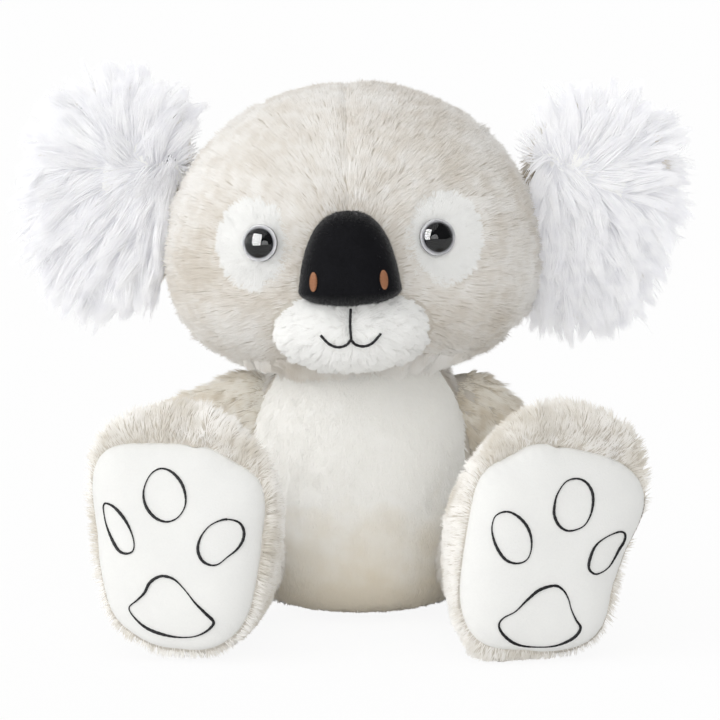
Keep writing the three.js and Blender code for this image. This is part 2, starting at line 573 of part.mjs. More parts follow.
// Legs: each is built straight ahead from its hip. The foot's sections slide outwards, back and round
// with their height, so that it leans and turns without leaving the floor.
for (const side of ['left', 'right']) {
  const roll = Math.tan(radians(footRoll[side]));
  const lean = Math.tan(radians(footLean));
  const turnIn = Math.tan(radians(footTurn[side]));
  const hipLow = leg.hipHeight;
  // Slides a point by how far along the leg it lies.
  const slid = (x, along, z) => {
    const share = THREE.MathUtils.clamp(along / leg.length, 0, 1) ** 2;
    const rise = z + leg.hipHeight - sole.height;
    return new THREE.Vector3(
      x + share * roll * (z + hipLow - sole.height),
      -(along + share * (x * turnIn - rise * lean)),
      z,
    );
  };
  const limb = (shrink, facets) => {
    const rings = [];
    const ringAt = (along, half, low, high, roundness) => Array.from({ length: facets.around }, (_, i) => {
      const turn = (2 * Math.PI * i) / facets.around;
      const x = half * power(Math.cos(turn), roundness);
      const z = (low + high + (high - low) * power(Math.sin(turn), roundness)) / 2;
      return slid(x, along, z);
    });
    const capSteps = 5;
    for (let j = 1; j <= capSteps; j += 1) {
      const angle = (Math.PI / 2) * (j / capSteps);
      const hip = leg.hipRadius - shrink;
      const half = hip * Math.sin(angle);
      rings.push(ringAt(-hip * Math.cos(angle), half, -half, half, 2));
    }
    for (const [place, half, low, high] of stationShares) {
      const roundness = THREE.MathUtils.lerp(2, leg.endPower, place);
      rings.push(ringAt(
        place * leg.length, half * leg.footWide - shrink,
        low * leg.footTall - floorCut - hipLow + shrink, high * leg.footTall - hipLow - shrink, roundness,
      ));
    }
    const last = rings.at(-1);
    last.forEach((p) => p.add(new THREE.Vector3(0, shrink, 0)));
    return solid(skinOver(rings)).intersect(halfSpace('z', shrink - hipLow, 1));
  };

  // The sole is a shallow dome on the foot's open end, leaning and rolling with it.
  const soleForm = {
    back: 0, height: sole.height - hipLow, wide: sole.wide, front: sole.front, rear: sole.rear,
    down: sole.tall, up: sole.tall, downPower: sole.power, upPower: sole.power, roundPower: sole.power,
    domePower: sole.domePower,
  };
  const onFoot = (geometry) => {
    geometry.translate(0, 0, -soleForm.height).rotateY(radians(soleRoll[side]));
    const { position } = geometry.attributes;
    for (let i = 0; i < position.count; i += 1) {
      const [x, y, z] = [position.getX(i), position.getY(i), position.getZ(i)];
      position.setY(i, y - leg.length - x * turnIn + z * lean);
    }
    return geometry.translate(0, 0, soleForm.height);
  };
  const soleSpace = solid(onFoot(swell(soleForm, clearance, medium)));
  const posture = (hand) => {
    const group = new THREE.Group();
    group.position.set(hand * leg.out, -leg.front, leg.hipHeight);
    group.rotation.z = hand * radians(legYaw[side]);
    return group;
  };
  const beside = besideBody(posture(1), leg.room, leg.hipRadius, 'y', -1);
  const cover = limb(0, medium).subtract(beside(0)).subtract(limb(wall, coarse)).subtract(soleSpace);
  const fill = limb(wall + clearance, coarse).subtract(soleSpace);
  const soleDome = solid(onFoot(swell(soleForm, 0, medium)))
    .intersect(halfSpace('z', clearance - hipLow, 1));

  const legGroup = posture(sign[side]);
  const own = (geometry) => (side === 'right' ? geometry : mirrored(geometry));
  legGroup.add(piece(`leg_cover_${side}`, own(geometryOf(cover)), materials.greyPlush));
  legGroup.add(piece(`leg_stuffing_${side}`, own(geometryOf(fill)), materials.fibre));
  legGroup.add(piece(`foot_sole_${side}`, own(geometryOf(soleDome)), materials.whitePlush));

  // Paw outlines: closed lines of thread that stand on the sole.
  const outline = (points) => {
    const sections = points.map(([x, z], i) => {
      const [ax, az] = points.at(i - 1);
      const [bx, bz] = points[(i + 1) % points.length];
      const along = new THREE.Vector2(bx - ax, bz - az).normalize();
      const corner = (out, lift) => {
        const [px, pz] = [x + out * along.y, z - out * along.x];
        const height = pz + soleForm.height;
        return new THREE.Vector3(px, frontOf(soleForm, px, height) - clearance - lift, height);
      };
      const half = thread.wide / 2;
      return [corner(-half, 0), corner(half, 0), corner(half, thread.thick), corner(-half, thread.thick)];
    });
    return onFoot(skinRound(sections));
  };
  const toeSteps = 16;
  for (const [name, [out, up, tiltDegrees]] of Object.entries(toeShares)) {
    const tilt = radians(tiltDegrees);
    const points = Array.from({ length: toeSteps }, (_, i) => {
      const turn = (2 * Math.PI * i) / toeSteps;
      const [x, z] = [toe.wide * Math.cos(turn), toe.tall * Math.sin(turn)];
      return [
        out * sole.wide + x * Math.cos(tilt) + z * Math.sin(tilt),
        up * sole.tall + z * Math.cos(tilt) - x * Math.sin(tilt),
      ];
    });
    legGroup.add(piece(`toe_outline_${name}_${side}`, own(outline(points)), materials.blackThread));
  }
  const padCurve = new THREE.CatmullRomCurve3(padOutlineShares.map(([x, z]) => new THREE.Vector3(
    padPlaceShares[0] * sole.wide + x * pad.wide, 0, padPlaceShares[1] * sole.tall + z * pad.tall,
  )), true);
  const padSteps = 22;
  const padPoints = padCurve.getPoints(padSteps).slice(0, -1).map((p) => [p.x, p.z]);
  legGroup.add(piece(`pad_outline_${side}`, own(outline(padPoints)), materials.blackThread));
  koala.add(legGroup);
}

export default koala;
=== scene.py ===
"""A seated plush koala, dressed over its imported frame. Shapes are worked out in millimetres and put into
their meshes in metres. +Z is up, and the face looks towards -Y."""
import math

import bpy
import numpy as np
from mathutils import Matrix, Vector


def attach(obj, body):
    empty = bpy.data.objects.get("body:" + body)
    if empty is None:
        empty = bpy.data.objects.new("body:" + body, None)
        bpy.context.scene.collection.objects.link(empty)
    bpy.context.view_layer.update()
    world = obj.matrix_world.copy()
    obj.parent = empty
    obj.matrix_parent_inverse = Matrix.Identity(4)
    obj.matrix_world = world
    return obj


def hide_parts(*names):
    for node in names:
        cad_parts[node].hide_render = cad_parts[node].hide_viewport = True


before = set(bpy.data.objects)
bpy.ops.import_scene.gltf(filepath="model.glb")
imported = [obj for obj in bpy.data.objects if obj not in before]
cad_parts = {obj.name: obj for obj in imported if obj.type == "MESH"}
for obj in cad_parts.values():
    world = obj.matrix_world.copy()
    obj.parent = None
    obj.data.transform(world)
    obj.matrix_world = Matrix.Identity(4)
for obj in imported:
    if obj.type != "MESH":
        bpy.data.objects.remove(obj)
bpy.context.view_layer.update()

# The studio: a white table that runs on far behind the toy. Soft light falls from the front, the left, high
# on the left and behind, and evenly from all round. A window shows in gloss alone, as a light patch in each
# eye, and the room behind the camera is dark there.
TARGET, CAMERA_DISTANCE, CAMERA_RISE = Vector((0, 0, 0.125)), 2.0, math.radians(5.9)
TABLE_HALF, TABLE_DROP, TABLE_WHITE, TABLE_GLOW = 40.0, 0.0006, 0.95, 0.92
AROUND, DARK_END = 0.46, 0.12


class Wire:
    """A shader node's output. Operators add Math nodes, and node() adds a node of any other kind."""

    def __init__(self, tree, socket=None):
        self.tree, self.socket = tree, socket

    def node(self, kind, settings=None, inputs=None, output=0):
        """Adds a node, sets its settings, then sets or links its sockets, by name or number."""
        made = self.tree.nodes.new("ShaderNode" + kind)
        for key, value in (settings or {}).items():
            setattr(made, key, value)
        for key, value in (inputs or {}).items():
            if isinstance(value, Wire):
                self.tree.links.new(value.socket, made.inputs[key])
            else:
                made.inputs[key].default_value = value
        return Wire(self.tree, made.outputs[output] if made.outputs else None)

    def math(self, operation, *values):
        return self.node("Math", {"operation": operation}, dict(enumerate(values)))

    def clamped(self):
        return self.node("Clamp", {}, {"Value": self})

    def pick(self, low, high):
        """The value between two values; this wire is the share of the second."""
        return self.node("Mix", {"data_type": "FLOAT"}, {0: self, 2: low, 3: high})

    def between(self, low, high):
        """The colour between two colours; this wire is the share of the second."""
        return self.node("Mix", {"data_type": "RGBA"}, {0: self, 6: low, 7: high}, 2)

    def __add__(self, other):
        return self.math("ADD", self, other)

    def __sub__(self, other):
        return self.math("SUBTRACT", self, other)

    def __rsub__(self, other):
        return self.math("SUBTRACT", other, self)

    def __mul__(self, other):
        return self.math("MULTIPLY", self, other)

    __radd__, __rmul__ = __add__, __mul__


def dye(red, green, blue):
    """The linear colour of a dye that is named in everyday 0 to 255 values."""
    shares = [c / 255 for c in (red, green, blue)]
    return (*[s / 12.92 if s <= 0.04045 else ((s + 0.055) / 1.055) ** 2.4 for s in shares], 1.0)


def finish(name, build):
    """A material whose Principled shader takes the values and wires, by socket, that build(wire) gives."""
    material = bpy.data.materials.new(name)
    material.use_nodes = True
    tree = material.node_tree
    shader = tree.nodes["Principled BSDF"]
    for key, value in build(Wire(tree)).items():
        if isinstance(value, Wire):
            tree.links.new(value.socket, shader.inputs[key])
        else:
            shader.inputs[key].default_value = value
    return material


def seen_directly(wire):
    """1 for rays from the camera, a mirror or glass, and 0 for the rays that carry light to the toy."""
    path = wire.node("LightPath").socket.node
    rays = [Wire(wire.tree, path.outputs[f"Is {kind} Ray"])
            for kind in ("Camera", "Glossy", "Transmission")]
    return rays[0].math("MAXIMUM", rays[0], rays[1].math("MAXIMUM", rays[1], rays[2]))


world = bpy.data.worlds.new("studio")
bpy.context.scene.world = world
world.use_nodes = True
sky = Wire(world.node_tree)
toward = sky.node("SeparateXYZ", {}, {0: sky.node("TexCoord", output="Generated")}, "Y")
mirrored = (toward * 2.5 + 0.4).clamped() * (1 - DARK_END) + DARK_END
ground = world.node_tree.nodes["Background"]
ground.inputs["Color"].default_value = (1, 1, 1, 1)
world.node_tree.links.new(seen_directly(sky).pick(AROUND, mirrored).socket, ground.inputs["Strength"])

table_mesh = bpy.data.meshes.new("table")
corners = [(x * TABLE_HALF, y * TABLE_HALF, 0) for x, y in ((-1, -1), (1, -1), (1, 1), (-1, 1))]
table_mesh.from_pydata(corners, [], [(0, 1, 2, 3)])
table = bpy.data.objects.new("table", table_mesh)
table.location.z = -TABLE_DROP
bpy.context.collection.objects.link(table)
table_finish = finish("white_table", lambda wire: {
    "Base Color": (TABLE_WHITE, TABLE_WHITE, TABLE_WHITE, 1), "Roughness": 1.0, "Specular IOR Level": 0.0})
table_nodes = table_finish.node_tree
table_wire = Wire(table_nodes)
glow = table_wire.node("Emission", {}, {"Color": (1, 1, 1, 1), "Strength": 1.0})
paper = table_wire.node("MixShader", {}, {0: seen_directly(table_wire) * TABLE_GLOW, 2: glow})
table_nodes.links.new(table_nodes.nodes["Principled BSDF"].outputs[0], paper.socket.node.inputs[1])
table_nodes.links.new(paper.socket, table_nodes.nodes["Material Output"].inputs["Surface"])
table_mesh.materials.append(table_finish)


def lamp(name, kind, place, power, **settings):
    """A lamp at a place in metres, turned towards the middle of the toy."""
    light = bpy.data.lights.new(name, kind)
    light.energy = power
    for key, value in settings.items():
        setattr(light, key, value)
    holder = bpy.data.objects.new(name, light)
    holder.location = place
    holder.rotation_euler = (TARGET - Vector(place)).to_track_quat("-Z", "Y").to_euler()
    bpy.context.collection.objects.link(holder)
    return holder


lamp("front", "SUN", (0.05, -1.00, 0.14), 1.22, angle=math.radians(40))
lamp("left", "SUN", (-1.00, -0.38, 0.14), 1.5, angle=math.radians(70))
lamp("high_left", "SUN", (-0.35, -0.30, 0.90), 0.98, angle=math.radians(80))
lamp("behind", "SUN", (0.30, 1.00, 0.45), 0.85, angle=math.radians(80))
window = lamp("window", "AREA", (-1.35, -1.7, 1.0), 230.0, shape="RECTANGLE", size=1.7, size_y=2.2)
window.visible_diffuse = False

camera = bpy.data.objects.new("camera", bpy.data.cameras.new("camera"))
camera.data.lens, camera.data.sensor_width = 200, 36
camera.location = TARGET + CAMERA_DISTANCE * Vector((0, -math.cos(CAMERA_RISE), math.sin(CAMERA_RISE)))
camera.rotation_euler = (TARGET - camera.location).to_track_quat("-Z", "Y").to_euler()
bpy.context.collection.objects.link(camera)
bpy.context.scene.camera = camera
bpy.context.scene.view_settings.view_transform = "Standard"

# Body: one stuffed bag of knitted plush backing, sewn from a grey cover and a white belly panel, with
# the pile of each growing out of it. It is pressed flat under the seat and rounded at the neck.
BODY = dict(out=0, back=0, height=48, wide=62, front=60, rear=56, down=48.5, up=96,
            down_power=3.5, up_power=2.3, round=2.1)
NECK, NECK_RADIUS = np.array([0, -2, 86.0]), 58.5
BELLY = dict(height=62, wide=52, down=74, up=96, power=3, front=15)
PILE_SINK, BODY_SINK = 3.3, 2.4


def unit(vectors):
    """Each vector over its own length."""
    return vectors / np.maximum(np.linalg.norm(vectors, axis=-1, keepdims=True), 1e-9)


def power(value, exponent):
    """The signed power that turns a sine or cosine into that of a fuller, squarer round."""
    return np.sign(value) * np.abs(value) ** (2 / exponent)


def smooth_step(value, low, high):
    """0 up to low and 1 from high, and between them 3 t squared less 2 t cubed, where t is the share."""
    share = np.clip((value - low) / (high - low), 0, 1)
    return share * share * (3 - 2 * share)


def swelling(form, grow, around, along):
    """Rings of points over a swelling form. The height is the sine of the climb, and the width and depth
    its cosine times the cosine and sine of the turn, each raised to the form's own fullness."""
    climb = np.pi * ((np.arange(along) + 0.5) / along - 0.5)[:, None]
    turn = (2 * np.pi * np.arange(around) / around)[None]
    fullness = np.where(climb < 0, form["down_power"], form["up_power"])
    height, share = power(np.sin(climb), fullness), power(np.cos(climb), fullness)
    tall = np.where(climb < 0, form["down"], form["up"]) + grow
    deep = power(np.sin(turn), form["round"]) * share
    wide = (form["wide"] + grow) * (1 - form.get("taper", 0) * height)
    x = power(np.cos(turn), form["round"]) * share * wide
    y = deep * (np.where(deep < 0, form["front"], form["rear"]) + grow)
    return np.stack([form["out"] + x, form["back"] + y, form["height"] + height * tall + 0 * turn], -1)


def skin_over(rings):
    """Points and faces over a stack of rings: quads between neighbours, and a fan that closes each end."""
    count, size = rings.shape[:2]
    number = np.arange(count * size).reshape(count, size)
    after = np.roll(number, -1, axis=1)
    quads = np.stack([number[:-1], after[:-1], after[1:], number[1:]], -1).reshape(-1, 4)
    points = np.vstack([rings.reshape(-1, 3), rings[:1].mean(1), rings[-1:].mean(1)])
    low, high = np.full(size, count * size), np.full(size, count * size + 1)
    fans = np.vstack([np.stack([after[0], number[0], low], -1),
                      np.stack([number[-1], after[-1], high], -1)])
    a, b, c = (points[quads[:, k]] for k in range(3))
    if np.einsum("ij,ij", a - points.mean(0), np.cross(b - a, c - a)) < 0:
        quads, fans = quads[:, ::-1], fans[:, ::-1]
    return points, quads, fans


def piece(name, points, faces, material):
    """A smooth mesh object of points in millimetres and of arrays of three- and four-cornered faces."""
    mesh = bpy.data.meshes.new(name)
    faces = [f for f in faces if len(f)]
    used, corners = np.unique(np.concatenate([f.ravel() for f in faces]), return_inverse=True)
    sizes = np.concatenate([np.full(len(f), f.shape[1]) for f in faces])
    mesh.vertices.add(len(used))
    mesh.vertices.foreach_set("co", (points[used] / 1000).astype(np.float32).ravel())
    mesh.loops.add(len(corners))
    mesh.loops.foreach_set("vertex_index", corners.ravel().astype(np.int32))
    mesh.polygons.add(len(sizes))
    mesh.polygons.foreach_set("loop_start", (np.cumsum(sizes) - sizes).astype(np.int32))
    mesh.polygons.foreach_set("use_smooth", np.ones(len(sizes), bool))
    mesh.update(calc_edges=True)
    mesh.materials.append(material)
    made = bpy.data.objects.new(name, mesh)
    bpy.context.collection.objects.link(made)
    return made


def panel(name, skin, material, chosen=None):
    """The part of a skin whose faces have their middle in the chosen region, as a piece of its own."""
    points, *faces = skin
    if chosen:
        faces = [f[chosen(points[f].mean(1))] for f in faces]
    return piece(name, points, faces, material)


def moved(made, matrix, mirrored=False):
    """Moves a piece's mesh, then mirrors it in X if asked, and carries the strands' own normals along."""
    mesh = made.data
    if mirrored:
        matrix = Matrix.Scale(-1, 4, (1, 0, 0)) @ matrix
    if mesh.has_custom_normals:
        normals, corners = np.empty(len(mesh.loops) * 3, np.float32), np.empty(len(mesh.loops), np.int32)
        mesh.corner_normals.foreach_get("vector", normals)
        mesh.loops.foreach_get("vertex_index", corners)
        kept = np.zeros((len(mesh.vertices), 3))
        kept[corners] = normals.reshape(-1, 3) @ np.array(matrix.to_3x3()).T
    carries = mesh.has_custom_normals
    mesh.transform(matrix)
    if mirrored:
        mesh.flip_normals()
    if carries:
        mesh.normals_split_custom_set_from_vertices(unit(kept))
    mesh.update()
    return made


def worn(made, body, slot, *nodes, fill=None):
    """Moves a piece with a body and hides the imported parts it stands for. Slot and fill are not used."""
    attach(made, body)
    if nodes:
        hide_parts(*nodes)
    return made


def pile(name, skin, material, count, long, wide, comb, seed, tuft=5.0, gather=0.25, lean=0.12, loose=0.1,
         steps=(0, 0.5, 1), droop=0.0, soft=0.85, spread=None, trim=None, curl=0.0,
         floor=0.0, stand=0.45, toward=(0, 0, 0), roundness=0.35):
    """Fur on a skin. Each strand is a flat tapering ribbon that starts at an even random place on the skin.
    Its way is the normal times stand, plus comb(place, normal) laid along the skin, plus its tuft's sway.
    A tuft is the strands whose wavily shifted places share a cell of the tuft's size. Along the strand the
    point leaves its straight way for the tuft's mean tip, by gather times the share to the power of 1.4.
    The flat side faces along the normal, or further towards a given way, and its edges are lit as rounded.
    Fine pale fibres pass light on to each other, so the strands cast no shadow."""
    rng = np.random.default_rng(seed)
    mesh = skin.data
    mesh.calc_loop_triangles()
    spots, normals = np.empty((2, len(mesh.vertices) * 3), np.float32)
    mesh.vertices.foreach_get("co", spots)
    mesh.vertices.foreach_get("normal", normals)
    corners = np.empty(len(mesh.loop_triangles) * 3, np.int32)
    mesh.loop_triangles.foreach_get("vertices", corners)
    spots, normals = spots.reshape(-1, 3).astype(float) * 1000, normals.reshape(-1, 3).astype(float)
    a, b, c = np.moveaxis(spots[corners.reshape(-1, 3)], 1, 0)
    chance = np.linalg.norm(np.cross(b - a, c - a), axis=1)
    if spread:
        chance = chance * spread((a + b + c) / 3)
    pick = rng.choice(len(chance), count, p=chance / chance.sum())
    u, v = rng.random((2, count, 1))
    u, v = np.where(u + v > 1, 1 - u, u), np.where(u + v > 1, 1 - v, v)
    root = a[pick] + u * (b - a)[pick] + v * (c - a)[pick]
    na, nb, nc = np.moveaxis(normals[corners.reshape(-1, 3)[pick]], 1, 0)
    out = unit(na + u * (nb - na) + v * (nc - na))

    shift = 0.4 * tuft * np.sin(root[:, [1, 2, 0]] * (1.9 / tuft) + np.array([0, 2, 4]))
    _, group = np.unique(np.floor((root + shift) / tuft).astype(int), axis=0, return_inverse=True)
    group = group.ravel()
    size = np.bincount(group)
    sway = rng.normal(size=(len(size), 3)) * lean
    flow = comb(root, out)
    flow = flow - out * np.einsum("ij,ij->i", flow, out)[:, None]
    way = unit(out * stand + flow + sway[group] + rng.normal(size=root.shape) * loose)
    reach = long * rng.uniform(0.7, 1.1, (count, 1)) * (1 if trim is None else trim(root)[:, None])
    tip = root + way * reach
    meet = np.stack([np.bincount(group, tip[:, k]) for k in range(3)], 1) / size[:, None]

    share = np.array(steps)[:, None, None]
    line = root + way * reach * share + (meet[group] - tip) * gather * share ** 1.4
    line = line - np.array([0, 0, 1.0]) * droop * reach * share ** 2
    if curl:
        phase = rng.random(len(size))[group][:, None] * 2 * np.pi + rng.random((count, 1))
        line = line + unit(np.cross(way, out)) * curl * np.sin(phase + 4.2 * share) * share
    line[..., 2] = np.maximum(line[..., 2], floor + 0.3 + 0.5 * rng.random(count))
    out, way = unit(out + np.array(toward)), unit(line[-1] - line[0])
    side = unit(np.cross(way, out))
    twist = rng.normal(size=(count, 1)) * 0.35
    side = side * np.cos(twist) + np.cross(side, way) * np.sin(twist)
    face = np.cross(side, way)
    flipped = np.einsum("ij,ij->i", face, out)[:, None] < 0
    side, face = np.where(flipped, -side, side), np.where(flipped, -face, face)
    half_wide = wide / 2 * (1 - share[:-1] ** 2 * 0.75) * rng.uniform(0.7, 1.2, (count, 1))
    left, right = line[:-1] - side * half_wide, line[:-1] + side * half_wide
    points = np.concatenate([np.stack([left, right], 1).reshape(-1, count, 3), line[-1:]])
    levels = len(steps) - 1
    lit = unit(out * soft + face * (1 - soft))
    shade = [unit(lit + side * turn) for _ in range(levels) for turn in (-roundness, roundness)] + [lit]

    number = np.arange((2 * levels + 1) * count).reshape(-1, count)
    quads = np.concatenate([
        np.stack([number[2 * k], number[2 * k + 1], number[2 * k + 3], number[2 * k + 2]], -1)
        for k in range(levels - 1)] or [np.empty((0, 4), int)])
    tips = np.stack([number[-3], number[-2], number[-1]], -1)
    made = piece(name, points.reshape(-1, 3), [quads, tips], material)
    mesh = made.data
    mesh.normals_split_custom_set_from_vertices(np.concatenate(shade).reshape(-1, 3))

    rise = np.repeat([s for s in steps[:-1] for _ in range(2)] + [1.0], count)
    tone = np.tile(0.6 * rng.random(len(size))[group] + 0.4 * rng.random(count), 2 * levels + 1)
    for label, values in (("rise", rise), ("tone", tone)):
        mesh.attributes.new(label, "FLOAT", "POINT").data.foreach_set("value", values.astype(np.float32))
    cells = math.ceil(math.sqrt(count))
    strand = number % count
    across = np.array([0.15, 0.85] * levels + [0.5])[:, None]
    up = 0.1 + 0.8 * np.array([s for s in steps[:-1] for _ in range(2)] + [1.0])[:, None]
    flat = np.stack([(strand % cells + across) / cells, (strand // cells + up) / cells], -1).reshape(-1, 2)
    corners = np.empty(len(mesh.loops), np.int32)
    mesh.loops.foreach_get("vertex_index", corners)
    mesh.uv_layers.new(name="OFBake").data.foreach_set("uv", flat[corners].astype(np.float32).ravel())
    made.visible_shadow = False
    return made


def noise(wire, scale, detail=2.0):
    """A cloudy field from 0 to 1 on Object coordinates, with about this many clouds to the metre."""
    place = wire.node("TexCoord", output="Object")
    return wire.node("TexNoise", {}, {"Vector": place, "Scale": scale, "Detail": detail})


def bump(height, strength, depth):
    """The normal of a surface raised by a wire, as far as a depth in metres."""
    return height.node("Bump", {}, {"Strength": strength, "Distance": depth, "Height": height})


def backing(colour, darkest=0.75):
    """Knitted backing: fine rows of loops, seen only where the pile parts."""
    def build(wire):
        loops = noise(wire, 900.0)
        low = tuple(darkest * c for c in colour[:3]) + (1.0,)
        return {"Base Color": (loops * 0.5 + noise(wire, 30.0) * 0.5).between(low, colour),
                "Roughness": 0.95, "Specular IOR Level": 0.1, "Normal": bump(loops, 0.5, 0.0004)}
    return build


def fur(deep, low, high, cloud_scale=26.0, cloud_gain=2.4, streak_gain=1.0):
    """Pile that is darker at the root, as painted shade deep in the pile, and drifts between a low and a
    high colour in soft clouds, fine streaks and tufts."""
    def build(wire):
        rise, tone = (wire.node("Attribute", {"attribute_name": name}, output="Fac")
                      for name in ("rise", "tone"))
        cloud, streak = noise(wire, cloud_scale), noise(wire, 170.0, 1.0)
        share = (cloud - 0.5) * cloud_gain + (streak - 0.5) * streak_gain + (tone - 0.5) * 0.35 + 0.62
        colour = share.clamped().between(low, high)
        # The root colour is painted shade: each strand darkens towards the skin.
        return {**PLUSH, "Base Color": (rise * 2.6 + 0.1).clamped().between(deep, colour)}
    return build


PLUSH = {"Roughness": 0.9, "Specular IOR Level": 0.03, "Sheen Weight": 0.15, "Sheen Roughness": 0.5}
grey_backing = finish("grey_backing", backing(dye(228, 222, 212)))
white_backing = finish("white_backing", backing(dye(252, 252, 250), 0.93))
# The first colour of each fur is the painted shade at the roots of its strands.
grey_fur = finish("grey_fur", fur(dye(208, 200, 187), dye(219, 212, 201), dye(242, 240, 236)))
white_fur = finish("white_short_fur", fur(dye(236, 235, 232), dye(242, 242, 240), dye(251, 251, 249)))


def belly_pile_painted_low_shade(wire):
    """Short white pile with painted shade, darker and warmer low down between the legs."""
    height = wire.node("SeparateXYZ", {}, {0: wire.node("TexCoord", output="Object")}, "Z")
    # Painted shade: the colour turns darker and warmer towards the seat.
    share = (1.35 - height * 22 + (noise(wire, 60.0) - 0.5) * 1.2).clamped()
    return {**PLUSH, "Base Color": share.between(dye(254, 253, 249), dye(240, 232, 216)),
            "Normal": bump(noise(wire, 900.0), 0.4, 0.0004)}


belly_white_painted_shade = finish("belly_fur_painted_low_shade", belly_pile_painted_low_shade)


def to_ball(points, radius, above):
    """Pulls points above a height onto the round neck, where they lie outside it."""
    arm = points - NECK
    length = np.linalg.norm(arm, axis=-1, keepdims=True)
    inner = NECK + arm * np.minimum(1, radius / length)
    return np.where(points[..., 2:] > above, inner, points)


def in_belly(spots):
    """Inside the belly panel's rounded outline, where the cubes of the shares across and up add to 1."""
    tall = np.where(spots[:, 2] < BELLY["height"], BELLY["down"], BELLY["up"])
    across, up = spots[:, 0] / BELLY["wide"], (spots[:, 2] - BELLY["height"]) / tall
    reach = np.abs(across) ** BELLY["power"] + np.abs(up) ** BELLY["power"]
    return (reach < 1) & (spots[:, 1] < -BELLY["front"])


def off_belly(spots):
    """No grey pile in the narrow shorn edge along the belly's seam."""
    return np.where(in_belly(spots * np.array([0.94, 1, 0.97]) + np.array([0, -3.0, 0])), 0.0, 1.0)


body_rings = to_ball(swelling(BODY, -BODY_SINK, 150, 110), NECK_RADIUS - BODY_SINK, NECK[2] + 2)
body_rings[..., 2] = np.maximum(body_rings[..., 2], 1.0)
body_skin = skin_over(body_rings)
belly = worn(panel("belly_cloth", body_skin, belly_white_painted_shade, in_belly), "torso", "white_short_plush",
             "belly_panel", fill=0.8)
back = worn(panel("body_cloth", body_skin, grey_backing, lambda s: ~in_belly(s)), "torso", "grey_plush",
            "body_cover", fill=0.8)


def body_comb(spots, out):
    """Down, and back away from the belly panel."""
    side = np.tanh(spots[:, 0] / 10)
    return np.stack([0.3 * side, 0.7 + 0 * side, -1.2 + 0 * side], -1)


def combed(*way):
    """A comb that runs one way all over."""
    return lambda spots, out: np.array(way) + 0 * spots


worn(pile("body_fur", back, grey_fur, 54000, 9.0, 0.55, body_comb, 11, tuft=6, spread=off_belly,
          trim=lambda s: 0.35 + 0.65 * smooth_step(s[:, 2], 2, 16)), "torso", "grey_plush")
worn(pile("belly_fur", belly, belly_white_painted_shade, 26000, 3.2, 0.5, combed(0, 0, -1.3), 12, tuft=4,
          gather=0.3, lean=0.2, stand=0.25, soft=0.9, toward=(0, -0.4, 0), roundness=0.5,
          trim=lambda s: 0.5 + 0.5 * smooth_step(s[:, 2], 2, 14)), "torso", "white_short_plush")

# Head: two grey half covers, joined by a seam over the crown and down to the nose, with a white short
# plush patch let in round each eye. The whole head is tipped and turned a little on the neck.
HEAD = dict(out=0, back=-8, height=176, wide=92.5, front=72, rear=68, down=60, up=89,
            down_power=2.3, up_power=2.1, round=2.2)
HEAD_ROLL, HEAD_TURN = math.radians(-2), math.radians(-1.4)
PATCH = dict(out=45.6, height=189.5, wide=15.8, tall=19.5, power=2.1)
MUZZLE = dict(out=0, back=-68, height=147, wide=36.6, front=28, rear=20, down=20, up=20,
              down_power=2.2, up_power=2.2, round=2.2)
NOSE = dict(out=0, back=-80, height=167.5, wide=25, front=23, rear=12, down=9, up=37.5,
            down_power=1.5, up_power=2.75, round=2.3, taper=0.2)
HEAD_MIDDLE = np.array([0, HEAD["back"], HEAD["height"]], float)
EYE = dict(out=42, height=190.4, radius=9, dome=5.6, plate=1.6, shank=3, shank_long=15)
posture = (Matrix.Translation(Vector(NECK) / 1000) @ Matrix.Rotation(HEAD_ROLL, 4, "Y")
           @ Matrix.Rotation(HEAD_TURN, 4, "Z") @ Matrix.Translation(-Vector(NECK) / 1000))


def tipped(made, matrix=Matrix(), mirrored=False):
    """Puts a piece of the upright head into the head's posture."""
    flip = Matrix.Scale(-1, 4, (1, 0, 0)) if mirrored else Matrix()
    return moved(made, flip @ posture @ flip @ matrix, mirrored)


def level(form, spots, grow=0.0):
    """How far out a spot lies in a swelling form: below 1 inside, above 1 outside."""
    up = spots[:, 2] - form["height"]
    tall = np.where(up < 0, form["down"], form["up"]) + grow
    fullness = np.where(up < 0, form["down_power"], form["up_power"])
    height = np.clip(up / tall, -1.5, 1.5)
    wide = (form["wide"] + grow) * (1 - form.get("taper", 0) * height)
    deep = spots[:, 1] - form["back"]
    deep = deep / (np.where(deep < 0, form["front"], form["rear"]) + grow)
    flat = (np.abs((spots[:, 0] - form["out"]) / wide) ** form["round"] + np.abs(deep) ** form["round"])
    return (flat ** (fullness / form["round"]) + np.abs(height) ** fullness) ** (1 / fullness)


def patch_level(spots):
    """How far out a spot of the face lies in its eye patch, an oval: 1 on its edge, and 9 behind the face."""
    across = np.abs((np.abs(spots[:, 0]) - PATCH["out"]) / PATCH["wide"])
    tall = np.abs((spots[:, 2] - PATCH["height"]) / PATCH["tall"])
    oval = (across ** PATCH["power"] + tall ** PATCH["power"]) ** (1 / PATCH["power"])
    return np.where(spots[:, 1] < -20, oval, 9)


head_rings = swelling(HEAD, -PILE_SINK, 208, 150)
flat_head = head_rings.reshape(-1, 3)
seam = np.exp(-(flat_head[:, 0] / 2.4) ** 2) * (flat_head[:, 2] > 150)
sunk = 0.8 * seam + 0.8 * smooth_step(1.25 - patch_level(flat_head), 0, 0.3)
flat_head -= unit(flat_head - HEAD_MIDDLE) * sunk[:, None]
arm_out = flat_head - NECK
span = np.linalg.norm(arm_out, axis=1, keepdims=True)
flat_head[:] = NECK + arm_out * np.maximum(1, (NECK_RADIUS + 1.5) / span)
head_skin = skin_over(flat_head.reshape(head_rings.shape))


